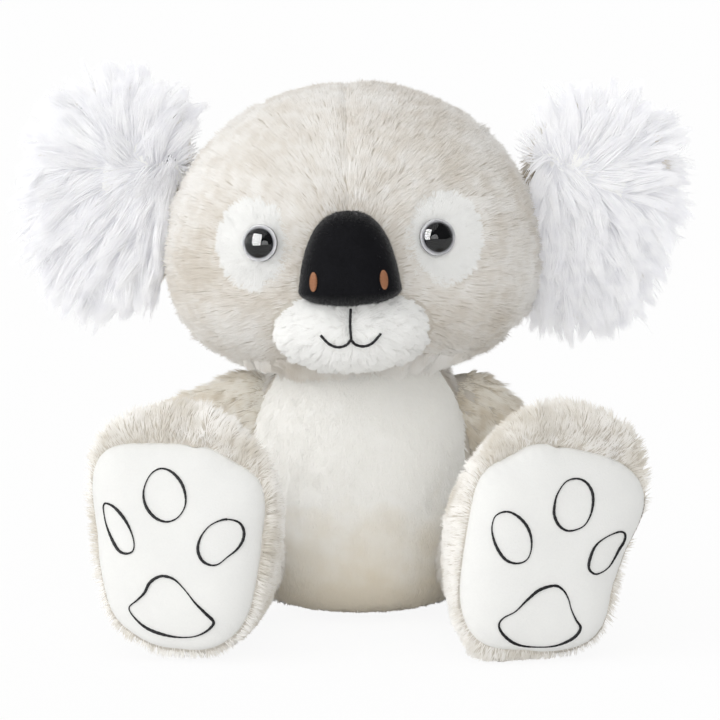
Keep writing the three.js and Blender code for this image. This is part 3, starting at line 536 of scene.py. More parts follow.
def head_comb(spots, out):
    """Away from the nose over the whole face, back over the crown and down the back of the head."""
    away = unit(spots - np.array([0, -60, 166.0]))
    side = np.tanh(spots[:, 0] / 10)
    behind = smooth_step(spots[:, 1], -22, 12)
    back = smooth_step(spots[:, 2], 205, 245) * behind
    return (away * (1.2 - 0.7 * behind)[:, None]
            + np.stack([0.35 * side, 0.25 + 0.6 * back, -0.15 - 1.1 * behind], -1))


def chin_spread(spots):
    """The front half of the head's underside, from ear to ear."""
    bare = (level(MUZZLE, spots, 1.5) < 1) | (np.linalg.norm(spots - NECK, axis=1) < NECK_RADIUS + 2.2)
    return np.where(bare | (spots[:, 2] > 133) | (spots[:, 1] > -30), 0.0, 1.0)


def head_spread(spots):
    """No pile under the muzzle and nose, on the eye patches, or inside the neck seam."""
    bare = (level(MUZZLE, spots, 1.5) < 1) | (level(NOSE, spots, 1.0) < 1) | (patch_level(spots) < 1)
    return np.where(bare | (np.linalg.norm(spots - NECK, axis=1) < NECK_RADIUS + 3.5), 0.0, 1.0)


def head_trim(spots):
    """Shorter beside the middle seam, the nose and the eye patches."""
    by_seam = 1 - 0.2 * np.exp(-(spots[:, 0] / 3) ** 2)
    by_patch = 0.45 + 0.55 * smooth_step(patch_level(spots), 1.0, 1.5)
    by_nose = 0.5 + 0.5 * smooth_step(np.minimum(level(NOSE, spots), level(MUZZLE, spots)), 1.0, 1.35)
    by_crown = 1 - 0.25 * smooth_step(spots[:, 2], 215, 255)
    return by_seam * by_patch * by_nose * by_crown


for hand, side in ((-1, "left"), (1, "right")):
    def on_side(spots, hand=hand):
        return spots[:, 0] * hand > 0

    cloth = panel(f"head_cloth_{side}", head_skin, grey_backing,
                  lambda s: on_side(s) & (patch_level(s) >= 1))
    coat = pile(f"head_fur_{side}", cloth, grey_fur, 62000, 9.0, 0.65, head_comb, 20 + hand, tuft=7,
                gather=0.15, spread=head_spread, trim=head_trim)
    chin = pile(f"chin_fur_{side}", cloth, grey_fur, 7000, 9, 0.6, combed(0, -0.75, -1.1), 24 + hand,
                tuft=7, gather=0.3, spread=chin_spread, stand=0.3, toward=(0, -2.5, 0.6))
    patch = panel(f"eye_patch_cloth_{side}", head_skin, white_backing,
                  lambda s: on_side(s) & (patch_level(s) < 1.04))

    def patch_comb(spots, out, hand=hand):
        """Away from the eye all round."""
        return unit(spots - np.array([hand * EYE["out"], spots[:, 1].mean(), EYE["height"]])) * 0.9

    patch_coat = pile(f"eye_patch_fur_{side}", patch, white_fur, 12000, 4.0, 0.5, patch_comb, 30 + hand,
                      tuft=3, gather=0.15, lean=0.12)
    for made, slot, nodes, full in (
            (cloth, "grey_plush", [f"head_cover_{side}"], 0.9), (coat, "grey_plush", [], None),
            (chin, "grey_plush", [], None),
            (patch, "white_short_plush", [f"eye_patch_{side}"], None),
            (patch_coat, "white_short_plush", [], None)):
        worn(tipped(made), "head", slot, *nodes, fill=full)

# Muzzle: a stuffed dome of short white plush under the nose, with two soft cheeks either side of the
# stitched upper lip.
muzzle_rings = swelling(MUZZLE, -1.6, 110, 80)
flat_muzzle = muzzle_rings.reshape(-1, 3)
lip = np.exp(-(flat_muzzle[:, 0] / 3.0) ** 2) * smooth_step(flat_muzzle[:, 2], 140, 146)
flat_muzzle[:, 1] += 1.3 * lip
muzzle_cloth = panel("muzzle_cloth", skin_over(flat_muzzle.reshape(muzzle_rings.shape)), white_backing)


def muzzle_comb(spots, out):
    """Away from a place before the lip, and a little down."""
    return unit(spots - np.array([0, -90, 150.0])) * 1.1 + np.array([0, 0, -0.35])


def muzzle_trim(spots):
    """Short along the stitched lip, which runs down from the nose and out in a bow to each side."""
    across = np.abs(spots[:, 0])
    bow = 141.3 + 0.085 * (across - 5.5) ** 2
    by_bow = np.exp(-((spots[:, 2] - bow) / 3.2) ** 2) * smooth_step(19 - across, 0, 3)
    by_middle = np.exp(-(across / 2.2) ** 2) * smooth_step(spots[:, 2], 140, 144)
    return 1 - 0.62 * np.maximum(by_bow, by_middle)


muzzle_coat = pile(
    "muzzle_fur", muzzle_cloth, white_fur, 31000, 5.4, 0.46, muzzle_comb, 41, tuft=4.0, gather=0.4, lean=0.2,
    toward=(0, -0.5, 0.2), roundness=0.5, trim=muzzle_trim,
    spread=lambda s: np.where((level(HEAD, s, -5) < 1) | (level(NOSE, s, 0.5) < 1), 0.0, 1.0))
worn(tipped(muzzle_cloth), "head", "white_short_plush", "muzzle_panel", fill=0.8)
worn(tipped(muzzle_coat), "head", "white_short_plush")

# Nose: a shield of black velour over firm fibre, sewn on above the muzzle. Its short nap runs down and
# catches the light at the rim.


def velour(wire):
    """Black nap that is a little lighter in fine grains and wide clouds."""
    nap = noise(wire, 1400.0)
    share = (nap * 0.6 + noise(wire, 90.0) * 0.5 - 0.05).clamped()
    colour = share.between(dye(12, 12, 14), dye(30, 30, 34))
    return {"Base Color": colour, "Roughness": 0.9, "Specular IOR Level": 0.03, "Sheen Weight": 0.35,
            "Sheen Roughness": 0.35, "Normal": bump(nap, 0.6, 0.0003)}


black_velour = finish("black_velour", velour)
nose_cloth = panel("nose_cloth", skin_over(swelling(NOSE, -0.6, 120, 90)), black_velour)
nose_nap = pile("nose_nap", nose_cloth, black_velour, 24000, 1.3, 0.22, combed(0, 0, -0.8), 45,
                tuft=2, gather=0.1, lean=0.1, steps=(0, 1),
                spread=lambda s: np.where(level(HEAD, s, -2) < 1, 0.0, 1.0))
worn(tipped(nose_cloth), "head", "black_velour", "nose_cover", fill=0.9)
worn(tipped(nose_nap), "head", "black_velour")


def front_of(form, x, z):
    """How far forward a swelling form reaches at a place seen from the front: its depth times the root that
    is left of 1 after the width's share, on the level section whose size the height leaves."""
    up = z - form["height"]
    fullness = np.where(up < 0, form["down_power"], form["up_power"])
    height = up / np.where(up < 0, form["down"], form["up"])
    share = np.maximum(1 - np.abs(height) ** fullness, 0) ** (1 / fullness)
    wide = form["wide"] * share * (1 - form.get("taper", 0) * height)
    across = np.abs((x - form["out"]) / np.maximum(wide, 1e-6))
    depth = share * np.maximum(1 - across ** form["round"], 0) ** (1 / form["round"])
    return form["back"] - form["front"] * depth


def place_on(form, x, z):
    """Columns right, inward, up and the spot of a place on a form's front."""
    step = 0.3
    slope = [(front_of(form, x + dx, z + dz) - front_of(form, x - dx, z - dz)) / (2 * step)
             for dx, dz in ((step, 0), (0, step))]
    inward = unit(np.array([-slope[0], 1.0, -slope[1]]))
    right = unit(np.cross(inward, [0, 0, 1.0]))
    return right, inward, np.cross(right, inward), np.array([x, float(front_of(form, x, z)), z])


def laid(points, frame_at):
    """Points in a place's own frame, moved to that place."""
    right, inward, up, spot = frame_at
    return points[..., :1] * right + points[..., 1:2] * inward + points[..., 2:] * up + spot


# Nostrils: two slim ovals of brown satin stitch on the nose, each a row of threads that are laid side by
# side over padding.


def satin(colour):
    """Glossy thread, with fine twisted plies."""
    def build(wire):
        plies = noise(wire, 2600.0, 1.0)
        low = tuple(0.55 * c for c in colour[:3]) + (1.0,)
        return {"Base Color": plies.between(low, colour), "Roughness": 0.6, "Specular IOR Level": 0.08,
                "Normal": bump(plies, 0.4, 0.0001)}
    return build


brown_thread = finish("brown_thread", satin(dye(176, 124, 92)))
black_thread = finish("black_thread", satin(dye(42, 42, 44)))
NOSTRIL = dict(out=16.8, height=173, wide=2.3, tall=4.7, deep=1.0, rows=13)
climb = np.linspace(-1, 1, 131)[:, None]
turn = np.linspace(0, 2 * np.pi, 24, endpoint=False)[None]
row_swell = 1 + 0.10 * np.cos(np.pi * NOSTRIL["rows"] * climb)
oval_share = np.sqrt(np.maximum(1 - climb ** 2, 0.0)) * row_swell
nostril_rings = np.stack([
    NOSTRIL["wide"] * oval_share * np.cos(turn), NOSTRIL["deep"] * oval_share * np.sin(turn),
    NOSTRIL["tall"] * climb + 0 * turn], -1)[1:-1]
for hand, side in ((-1, "left"), (1, "right")):
    seat = place_on(NOSE, hand * NOSTRIL["out"], NOSTRIL["height"])
    stitched = panel(f"nostril_stitch_{side}", skin_over(laid(nostril_rings, seat)), brown_thread)
    worn(tipped(stitched), "head", "brown_thread", f"nostril_{side}")

# Eyes: safety eyes of 18 mm. A clear dome sits on a round plate with a black pupil and a dark grey rim,
# and a shank runs from the plate through the cloth.
CLOTH_GAP = 0.35


def lathe(profile, around=64):
    """Rings turned about the -Y axis from a profile of (radius, forward) pairs."""
    radius, forward = np.array(profile, float).T[..., None]
    turn = np.linspace(0, 2 * np.pi, around, endpoint=False)[None]
    return np.stack([radius * np.cos(turn), -forward + 0 * turn, radius * np.sin(turn)], -1)


def clear(wire):
    """Polished clear plastic with the faintest scuffs."""
    return {"Base Color": (0.97, 0.97, 0.98, 1), "Roughness": noise(wire, 300.0) * 0.006, "IOR": 1.49,
            "Transmission Weight": 1.0}


def pupil(middle):
    """Black up to the pupil's rim, then a ring of pewter grey that lightens outwards to a dark edge."""
    def build(wire):
        place = wire.node("TexCoord", output="Object")
        away = wire.node("VectorMath", {"operation": "DISTANCE"},
                         {0: place, 1: tuple(middle / 1000)}, "Value")
        grain, out = noise(wire, 500.0), away * 1000
        ring, edge = ((out - 5.9) * 2.5).clamped(), ((out - 8.2) * 5).clamped()
        rim = ((out - 6.3) * 0.55 + grain * 0.15).clamped()
        iris = rim.between(dye(90, 90, 93), dye(190, 190, 192))
        return {"Base Color": ring.between(dye(5, 5, 6), edge.between(iris, dye(30, 30, 32))),
                "Roughness": grain * 0.1 + 0.4, "Specular IOR Level": 0.0}
    return build


clear_plastic = finish("clear_plastic", clear)
for hand, side in ((-1, "left"), (1, "right")):
    seat = place_on(HEAD, hand * EYE["out"], EYE["height"])
    low, radius = CLOTH_GAP + EYE["plate"], EYE["radius"]
    bulge = np.linspace(0, np.pi / 2, 16)[:-1]
    dome = [(radius - 0.4, low - 0.7), (radius, low - 0.4)] + [
        (radius * math.cos(t), low - 0.4 + (EYE["dome"] + 0.75) * math.sin(t)) for t in bulge[1:]]
    plate = [(EYE["shank"], -EYE["shank_long"]), (EYE["shank"], CLOTH_GAP), (radius - 0.8, CLOTH_GAP),
             (radius - 0.5, CLOTH_GAP + 0.3), (radius - 0.5, low - 0.2), (radius - 0.6, low),
             (radius * 0.7, low), (radius * 0.4, low)]
    middle = seat[3] - seat[1] * low
    world_middle = np.array(posture @ Vector(middle / 1000)) * 1000
    eye_dome = panel(f"eye_lens_{side}", skin_over(laid(lathe(dome), seat)), clear_plastic)
    eye_back = panel(f"eye_pupil_{side}", skin_over(laid(lathe(plate), seat)),
                     finish(f"pupil_{side}", pupil(world_middle)))
    worn(tipped(eye_dome), "head", "clear_plastic", f"eye_dome_{side}")
    worn(tipped(eye_back), "head", "black_plastic", f"eye_back_{side}")

# Mouth: black thread, sewn through the muzzle as a short upright line that parts into a wide smile. The
# pile is short along it.
THREAD = 1.35


def stitched_line(points, out, thick=THREAD, stitch=2.6, closed=False):
    """Rings along a sewn line: a round thread whose thickness swells once for each stitch."""
    points, out = np.asarray(points, float), np.asarray(out, float)
    ahead, behind = np.roll(points, -1, 0), np.roll(points, 1, 0)
    if not closed:
        ahead[-1], behind[0] = points[-1], points[0]
    along = unit(ahead - behind)
    side = unit(np.cross(along, out))
    lift = np.cross(side, along)
    gone = np.concatenate([[0], np.cumsum(np.linalg.norm(np.diff(points, axis=0), axis=1))])
    radius = (thick / 2 * (0.86 + 0.14 * np.abs(np.sin(np.pi * gone / stitch))))[:, None, None]
    turn = np.linspace(0, 2 * np.pi, 10, endpoint=False)[None, :, None]
    return points[:, None] + radius * (side[:, None] * np.cos(turn) + 0.8 * lift[:, None] * np.sin(turn))


def smooth_line(knots, count, closed=False):
    """Evenly spaced points on a curve through knots, by Catmull and Rom's cubic between neighbours."""
    knots = np.asarray(knots, float)
    around = np.vstack([knots[-1:], knots, knots[:2]]) if closed else np.vstack(
        [2 * knots[:1] - knots[1:2], knots, 2 * knots[-1:] - knots[-2:-1]])
    share = np.linspace(0, len(around) - 3, 40 * len(knots), endpoint=not closed)
    index = np.minimum(share.astype(int), len(around) - 4)
    t = (share - index)[:, None]
    a, b, c, d = (around[index + k] for k in range(4))
    curve = 0.5 * (2 * b + (c - a) * t + (2 * a - 5 * b + 4 * c - d) * t ** 2
                   + (3 * b - a - 3 * c + d) * t ** 3)
    loop = np.vstack([curve, curve[:1]]) if closed else curve
    gone = np.concatenate([[0], np.cumsum(np.linalg.norm(np.diff(loop, axis=0), axis=1))])
    at = np.linspace(0, gone[-1], count, endpoint=not closed)
    return np.stack([np.interp(at, gone, loop[:, k]) for k in range(loop.shape[1])], 1)


def on_muzzle(flat):
    """Places on the muzzle's front, and the way that they face, for a line drawn flat before it."""
    x, z = flat.T
    place = np.stack([x, front_of(MUZZLE, x, z) - 0.7, z], -1)
    return place, np.array([0, -1.0, 0]) + 0 * place


mouth_lines = [smooth_line([(0.3, 159), (-0.1, 152), (0.2, 144.4)], 40)] + [
    smooth_line([(0.1 * hand, 144.6), (2.2 * hand, 142.3), (6.2 * hand, 141.3), (10.4 * hand, 142.9),
                 (14.4 * hand, 147.2)], 60) for hand in (-1, 1)]
parts = [skin_over(stitched_line(*on_muzzle(line))) for line in mouth_lines]
starts = np.cumsum([0] + [len(p[0]) for p in parts])
mouth = piece("mouth_stitches", np.vstack([p[0] for p in parts]),
              [np.vstack([p[k] + s for p, s in zip(parts, starts)]) for k in (1, 2)], black_thread)
worn(tipped(mouth), "head", "black_thread", "mouth_embroidery")

# Ears: flat pads sewn along the sides of the head, long white fur in front that falls outwards and down
# in clumps, and grey plush behind.
EAR = dict(out=86.4, height=205)
EAR_LIFT = dict(left=8, right=-20)
PAD = dict(out=31, back=3, height=1, wide=34, front=10, rear=8, down=46, up=49,
           down_power=2.3, up_power=2.3, round=2.2)
PARTING = 20
long_fur = finish("white_long_fur",
                  fur(dye(233, 233, 237), dye(245, 245, 248), dye(254, 254, 255), 60.0, 1.0, 2.2))
# Painted shadow: dark brown strands that stand for the shade in the gap where the ear is sewn to the head.
seam_shadow_fur = finish("ear_seam_shadow_fur", fur(dye(104, 94, 80), dye(146, 134, 116), dye(196, 186, 168)))


def ear_comb(spots, out):
    """A parting crosses the ear near its top. Below it the fur runs straight down beside the head and fans
    outwards further off. Above it the fur turns from inwards, over the head, through upright to sideways."""
    x, z = spots[:, 0], spots[:, 2]
    below = unit(np.stack([0.9 * x, 0 * x, z - PARTING - 14], -1))
    angle = np.radians(145 - 2.2 * x + 30 * (smooth_step(z, 18, 45) - 0.6))
    above = np.stack([np.cos(angle), 0 * x, np.sin(angle)], -1)
    share = smooth_step(z + 0.12 * x, PARTING - 3, PARTING + 5)[:, None]
    return (below * (1 - share) + above * share) * 1.3 + np.array([0, -0.12, 0])


def ear_rim(spots):
    """Only the outer part of the pad, away from the head."""
    out = np.hypot((spots[:, 0] - PAD["out"]) / PAD["wide"], spots[:, 2] / PAD["up"])
    return np.where((out > 0.6) & (spots[:, 0] > 6), 1.0, 0.0)


for hand, side in ((-1, "left"), (1, "right")):
    pad_skin = skin_over(swelling(PAD, 0, 90, 70))
    pad_front = panel(f"ear_front_cloth_{side}", pad_skin, white_backing, lambda s: s[:, 1] < 3)
    pad_back = panel(f"ear_back_cloth_{side}", pad_skin, grey_backing, lambda s: s[:, 1] >= 3)
    long_pile = dict(steps=(0, 0.33, 0.67, 1), droop=0.06, curl=1.0, floor=-200, stand=0.2, roundness=0.5)
    ear_coat = pile(f"ear_front_fur_{side}", pad_front, long_fur, 12500, 25, 0.62, ear_comb, 50 + hand,
                    tuft=7, gather=0.62, lean=0.28, toward=(0, -1.6, 0.2), **long_pile,
                    spread=lambda s: np.where((s[:, 0] < 2.5) & (s[:, 2] < PARTING), 0.15, 1.0))
    ear_tufts = pile(f"ear_tuft_fur_{side}", pad_front, long_fur, 6000, 29, 0.6, ear_comb, 55 + hand,
                     tuft=7.5, gather=0.82, lean=0.3, toward=(0, -3, 0.2), **long_pile, spread=ear_rim)
    # The painted seam shadow: a strip of dark strands beside the head, below the parting.
    ear_seam = pile(f"ear_seam_shadow_fur_{side}", pad_front, seam_shadow_fur, 2000, 6, 0.5, ear_comb, 57 + hand,
                    gather=0.4, floor=-200, stand=0.9, toward=(0, -1, 0),
                    spread=lambda s: np.where((s[:, 0] < 1.5) & (s[:, 2] < PARTING - 8), 1.0, 0.0))
    ear_rear = pile(f"ear_back_fur_{side}", pad_back, grey_fur, 14000, 9.5, 0.9, ear_comb, 60 + hand,
                    floor=-200, toward=(0, 1, 0))
    lift = Matrix.Rotation(-math.radians(EAR_LIFT[side]), 4, "Y")
    place = Matrix.Translation((EAR["out"] / 1000, 0, EAR["height"] / 1000)) @ lift
    for made, slot, nodes, full in (
            (pad_front, "white_long_fur", [f"ear_front_{side}"], 0.5),
            (ear_coat, "white_long_fur", [], None), (ear_tufts, "white_long_fur", [], None),
            (ear_seam, "grey_plush", [], None),
            (pad_back, "grey_plush", [f"ear_back_{side}"], 0.5), (ear_rear, "grey_plush", [], None)):
        worn(tipped(made, place, hand < 0), f"ear_{side}", slot, *nodes, fill=full)

# Arms: short limbs of grey plush over loose fibre, round at the shoulder, where they are sewn to the
# body, and blunt at the paw. Their pile is painted warmer and more mottled, as painted shade where
# its lay turns it from the light.
ARM = dict(out=54, back=6, height=96, radius=22.5, length=57, end=20.5, forward=8)
ARM_DROOP = dict(left=23, right=43)
ARM_SHARES = [1, 1, 1.01, 1, 0.98, 0.95]
ARM_SINK = 0.8


def profile_rings(rows, around, roundness=2.0):
    """Rings about the X axis from rows of (place along X, radius)."""
    along, radius = np.array(rows, float).T[..., None]
    turn = np.linspace(0, 2 * np.pi, around, endpoint=False)[None]
    return np.stack([along + 0 * turn, radius * power(np.cos(turn), roundness),
                     radius * power(np.sin(turn), roundness)], -1)


# Painted shade: a warmer copy of the grey fur with darker mottles, for the light the arms' pile turns away.
arm_fur_painted_shade = finish("arm_grey_fur_painted_shade",
                  fur(dye(202, 191, 170), dye(222, 212, 194), dye(250, 247, 239), 34.0, 3.0, 1.4))
cap = np.radians(np.linspace(6, 90, 10))
arm_radius, paw = ARM["radius"] - ARM_SINK, ARM["radius"] * ARM_SHARES[-1] - ARM_SINK
arm_rows = smooth_line(
    [(-arm_radius * math.cos(t), arm_radius * math.sin(t)) for t in cap]
    + [(ARM["length"] * k / 5, ARM["radius"] * ARM_SHARES[k] - ARM_SINK) for k in range(1, 6)]
    + [(ARM["length"] + (ARM["end"] - ARM_SINK) * math.sin(t), paw * math.cos(t))
       for t in cap * 0.94][1:], 70)
for hand, side in ((-1, "left"), (1, "right")):
    arm_cloth = panel(f"arm_cloth_{side}", skin_over(profile_rings(arm_rows, 72)), grey_backing)
    arm_coat = pile(f"arm_fur_{side}", arm_cloth, arm_fur_painted_shade, 24000, 9, 0.5, combed(1.2, 0, 0), 70 + hand,
                    gather=0.4, lean=0.22, stand=0.4, toward=(0, -0.5, 0), floor=-200,
                    spread=lambda s: np.where(s[:, 0] < -14, 0.0, 1.0),
                    trim=lambda s: 0.45 + 0.55 * smooth_step(s[:, 0], -16, 2))
    swing = (Matrix.Translation((ARM["out"] / 1000, ARM["back"] / 1000, ARM["height"] / 1000))
             @ Matrix.Rotation(-math.radians(ARM["forward"]), 4, "Z")
             @ Matrix.Rotation(math.radians(ARM_DROOP[side]), 4, "Y"))
    for made, nodes, full in ((arm_cloth, [f"arm_cover_{side}"], 0.8), (arm_coat, [], None)):
        worn(moved(made, swing, hand < 0), f"arm_{side}", "grey_plush", *nodes, fill=full)

# Legs: grey plush tubes that widen from a round hip to a tall upright foot. A white short plush sole is
# sewn into the foot, which gathers the grey cloth into small radial folds at its rim.
LEG = dict(out=63, front=44, hip=31, hip_radius=27, length=100, wide=47.5, tall=120)
LEG_YAW = dict(left=13, right=15.5)
FOOT_ROLL = dict(left=1, right=9.5)
SOLE_ROLL = dict(left=1, right=15)
FOOT_TURN = dict(left=5, right=-2)
FOOT_LEAN = math.tan(math.radians(12))
STATIONS = [(0.2, 0.6, 0.017, 0.5), (0.38, 0.68, 0, 0.58), (0.52, 0.8, 0, 0.71), (0.64, 0.9, 0, 0.84),
            (0.75, 0.975, 0, 0.935), (0.85, 1, 0, 0.99), (0.93, 0.98, 0.004, 0.995), (1, 0.925, 0.02, 0.955)]
SOLE = dict(height=52, wide=41.5, tall=48, front=13, power=2.8, dome_power=1.5)
RIM = dict(left=[0.887, 1.035, 1.137, 1.046, 0.985, 0.938, 0.963, 1.024,
                 0.956, 0.935, 0.97, 0.993, 0.963, 0.878, 0.852, 0.836],
           right=[0.826, 1.035, 1.081, 1.017, 0.967, 0.947, 0.929, 1.021,
                  1.02, 1.046, 1.107, 1.12, 1.014, 0.942, 0.903, 0.823])
TOES = {
    ("middle", "left"): [
        (5.8, 37), (0.6, 35.2), (-4.1, 30.5), (-6.5, 24.5), (-6.2, 19.3), (-3.1, 14.9), (1.9, 13.2),
        (7.4, 15.2), (11.7, 20), (13.4, 25.6), (12.6, 30.8), (10.1, 35.2)],
    ("outer", "left"): [
        (31.6, 21.1), (27.3, 19.5), (22.5, 15), (18.9, 9.5), (16.9, 3.8), (17.4, -0.3), (20.9, -1.5),
        (24.6, 0), (28.3, 5.1), (31.4, 11.5), (32.8, 17), (33, 19.8)],
    ("inner", "left"): [
        (-26.4, 14.1), (-31.1, 12.6), (-33.3, 9.1), (-33.2, 4.6), (-30.8, 0.3), (-26.6, -3.2),
        (-22.8, -6.2), (-19.2, -6.5), (-15.3, -4.2), (-13.3, 0.7), (-14.4, 6), (-17.8, 10.8),
        (-22.1, 13.3)],
    ("middle", "right"): [
        (2, 33.6), (6.9, 33.1), (10.5, 29.5), (11.7, 24.1), (11, 17.8), (8.3, 12.8), (2.2, 9.6),
        (-2.8, 10.7), (-6.2, 14.9), (-6.9, 20), (-6.2, 25), (-3, 30.9)],
    ("inner", "right"): [
        (-28.8, 11.3), (-23.8, 10.7), (-18.7, 7.5), (-15.4, 2.6), (-14.3, -3.3), (-15.7, -8.1),
        (-20.2, -10.6), (-25.3, -10), (-29.6, -6.2), (-32.4, -1.7), (-33.8, 3.2), (-33, 8.3)],
    ("outer", "right"): [
        (27.5, 14.4), (31.1, 13.9), (31.6, 10.5), (29.7, 6.1), (28.2, 1.7), (26.1, -2.4), (22.9, -5.4),
        (19.1, -7), (15.5, -5.3), (14.9, -0.9), (16.5, 5.6), (21, 10.6)]}
PADS = dict(
    left=[
        (1.8, -11.5), (-3.3, -13.3), (-8.4, -18.4), (-12.6, -23.7), (-17, -28.3), (-20.8, -32.6),
        (-19.2, -35.7), (-15, -38.5), (-10, -39.9), (-2.9, -39.9), (4.5, -38.3), (11.1, -35.6),
        (16.3, -31.2), (18.9, -26.5), (15, -22.9), (11.3, -19.3), (8.9, -14.8), (5.5, -12.2)],
    right=[
        (0, -16.4), (4.6, -17.4), (8.1, -20.8), (10.7, -25.2), (14.3, -29.5), (17.7, -32.6),
        (16.9, -36.6), (13.6, -40.3), (8.2, -43.8), (2.1, -45.7), (-5.1, -47), (-12.1, -46.6),
        (-18.5, -43.7), (-21.6, -40), (-20.4, -36.2), (-15.7, -32), (-11.4, -25.5), (-6.7, -19.9)])


def sole_cloth(wire):
    """Short white plush: a fine nap over soft clouds."""
    nap, cloud = noise(wire, 1100.0), noise(wire, 45.0, 3.0)
    colour = (nap * 0.5 + cloud * 0.9 - 0.2).clamped().between(dye(228, 228, 226), dye(239, 239, 236))
    return {**PLUSH, "Base Color": colour, "Roughness": 0.95, "Normal": bump(nap * 0.7 + cloud, 0.35, 0.0004)}


sole_plush = finish("sole_plush", sole_cloth)


def fibre(wire):
    """White wisps of loose filling."""
    wisps = noise(wire, 220.0, 4.0)
    return {"Base Color": wisps.between(dye(226, 226, 226), dye(252, 252, 252)), "Roughness": 0.95,
            "Normal": bump(wisps, 0.6, 0.001)}


fibre_fill = finish("fibre_fill", fibre)
# Painted light: a lighter, more mottled copy of the grey fur, for the light that falls on the foot tops.
leg_fur_painted_light = finish("leg_grey_fur_painted_light",
                 fur(dye(208, 200, 186), dye(220, 214, 202), dye(250, 248, 244), 38.0, 2.6, 1.0))
SOLE_UP = SOLE["height"] - LEG["hip"]


def spin(x, z, angle):
    """Turns points outwards in the plane that is seen from the front."""
    return x * math.cos(angle) + z * math.sin(angle), z * math.cos(angle) - x * math.sin(angle)


def sole_depth(share):
    """How far the sole stands out at a share of the way from its middle to its rim."""
    return SOLE["front"] * np.maximum(1 - share ** SOLE["power"], 0) ** (SOLE["dome_power"] / SOLE["power"])


def rim_share(turn, side):
    """The sole's outline beside a plain full oval, as the smooth wave through sixteen even turns."""
    terms = np.fft.rfft(RIM[side]) / 16
    terms[1:-1] *= 2
    return sum((term * np.exp(1j * k * turn)).real for k, term in enumerate(terms))


def sole_reach(x, z, side):
    """How far out a spot of the flat sole pattern lies: 0 in its middle, 1 on its rim."""
    across, up = x / SOLE["wide"], z / SOLE["tall"]
    oval = (np.abs(across) ** SOLE["power"] + np.abs(up) ** SOLE["power"]) ** (1 / SOLE["power"])
    half = SOLE["power"] / 2
    turn = np.arctan2(np.sign(up) * np.abs(up) ** half, np.sign(across) * np.abs(across) ** half)
    return oval / rim_share(turn, side)


def sole_place(x, z, side, lift=0.0):
    """Moves a spot of the flat sole pattern onto the sole: domed, rolled out, leant back and turned."""
    depth = sole_depth(sole_reach(x, z, side)) + lift
    across, up = spin(x, z, math.radians(SOLE_ROLL[side]))
    y = -LEG["length"] - across * math.tan(math.radians(FOOT_TURN[side])) + up * FOOT_LEAN - depth
    return np.stack([across, y, up + SOLE_UP], -1)


def leg_rings(side, sink, around=150):
    """Rings from the hip's round end along the stations to the sole's seam, then in under the sole. Each is
    an oval whose sine and cosine are raised to the station's fullness. Near the rim its radius carries two
    sine waves, the gathers, and over the middle a bell-shaped crease. With the square of its share of the
    length each ring slides outwards and back as the foot leans."""
    turn = np.linspace(0, 2 * np.pi, around, endpoint=False)[None]
    hip = LEG["hip_radius"] - sink
    start = [(-hip * math.cos(t), hip * math.sin(t), -hip * math.sin(t), hip * math.sin(t), 2)
             for t in np.radians(np.linspace(8, 90, 9))]
    rows = start + [(p * LEG["length"], w * LEG["wide"] - sink * (1 - 0.7 * p ** 4),
                     low * LEG["tall"] - 0.5 - LEG["hip"] + sink * (1 - 0.5 * p ** 4),
                     high * LEG["tall"] - LEG["hip"] - sink, 2 + 0.6 * p) for p, w, low, high in STATIONS]
    rows = smooth_line(rows, 120)
    along, half_wide, low, high, fullness = (rows[:, k:k + 1] for k in range(5))
    near_rim = smooth_step(along, 78, 99)
    upper = smooth_step(np.sin(turn), 0, 0.3) * (1 - smooth_step(along, 90, 100))
    fullness = fullness - upper * (fullness - 1.9)
    across, up = power(np.cos(turn), fullness), power(np.sin(turn), fullness)
    outline = 1 + (rim_share(turn, side) - 1) * (0.85 - 0.5 * upper) * smooth_step(along, 45, 98)
    folds = (0.55 * np.sin(37 * turn + 1.3 * np.sin(3 * turn))
             + 0.45 * np.sin(23 * turn + 2 * np.sin(2 * turn)))
    gathered = near_rim * folds * (0.5 + 0.6 * np.maximum(np.sin(turn), 0))
    crease = 1.8 * np.exp(-((turn - 1.66) / 0.05) ** 2) * smooth_step(along, 60, 95)
    x = (half_wide + gathered) * across * outline
    z = (low + high) / 2 + ((high - low) / 2 * outline + gathered - crease) * up
    share = np.clip(along / LEG["length"], 0, 1) ** 2
    lifted = z - SOLE_UP
    leant = x * math.tan(math.radians(FOOT_TURN[side])) - lifted * FOOT_LEAN
    y = -(along - 2.0 * near_rim + share * leant)
    x = x + share * math.tan(math.radians(FOOT_ROLL[side])) * lifted
    tube = np.stack([x, y, z], -1)
    rim = [sole_place(s * SOLE["wide"] * power(np.cos(turn[0]), SOLE["power"]),
                      s * SOLE["tall"] * power(np.sin(turn[0]), SOLE["power"]), side)
           for s in rim_share(turn[0], side) * np.array([1.02, 0.97, 0.8, 0.4])[:, None]]
    rim = np.stack(rim) + np.array([0, 1.0, 0]) * np.array([0, 4, 9, 16])[:, None, None]
    return np.concatenate([tube, rim])


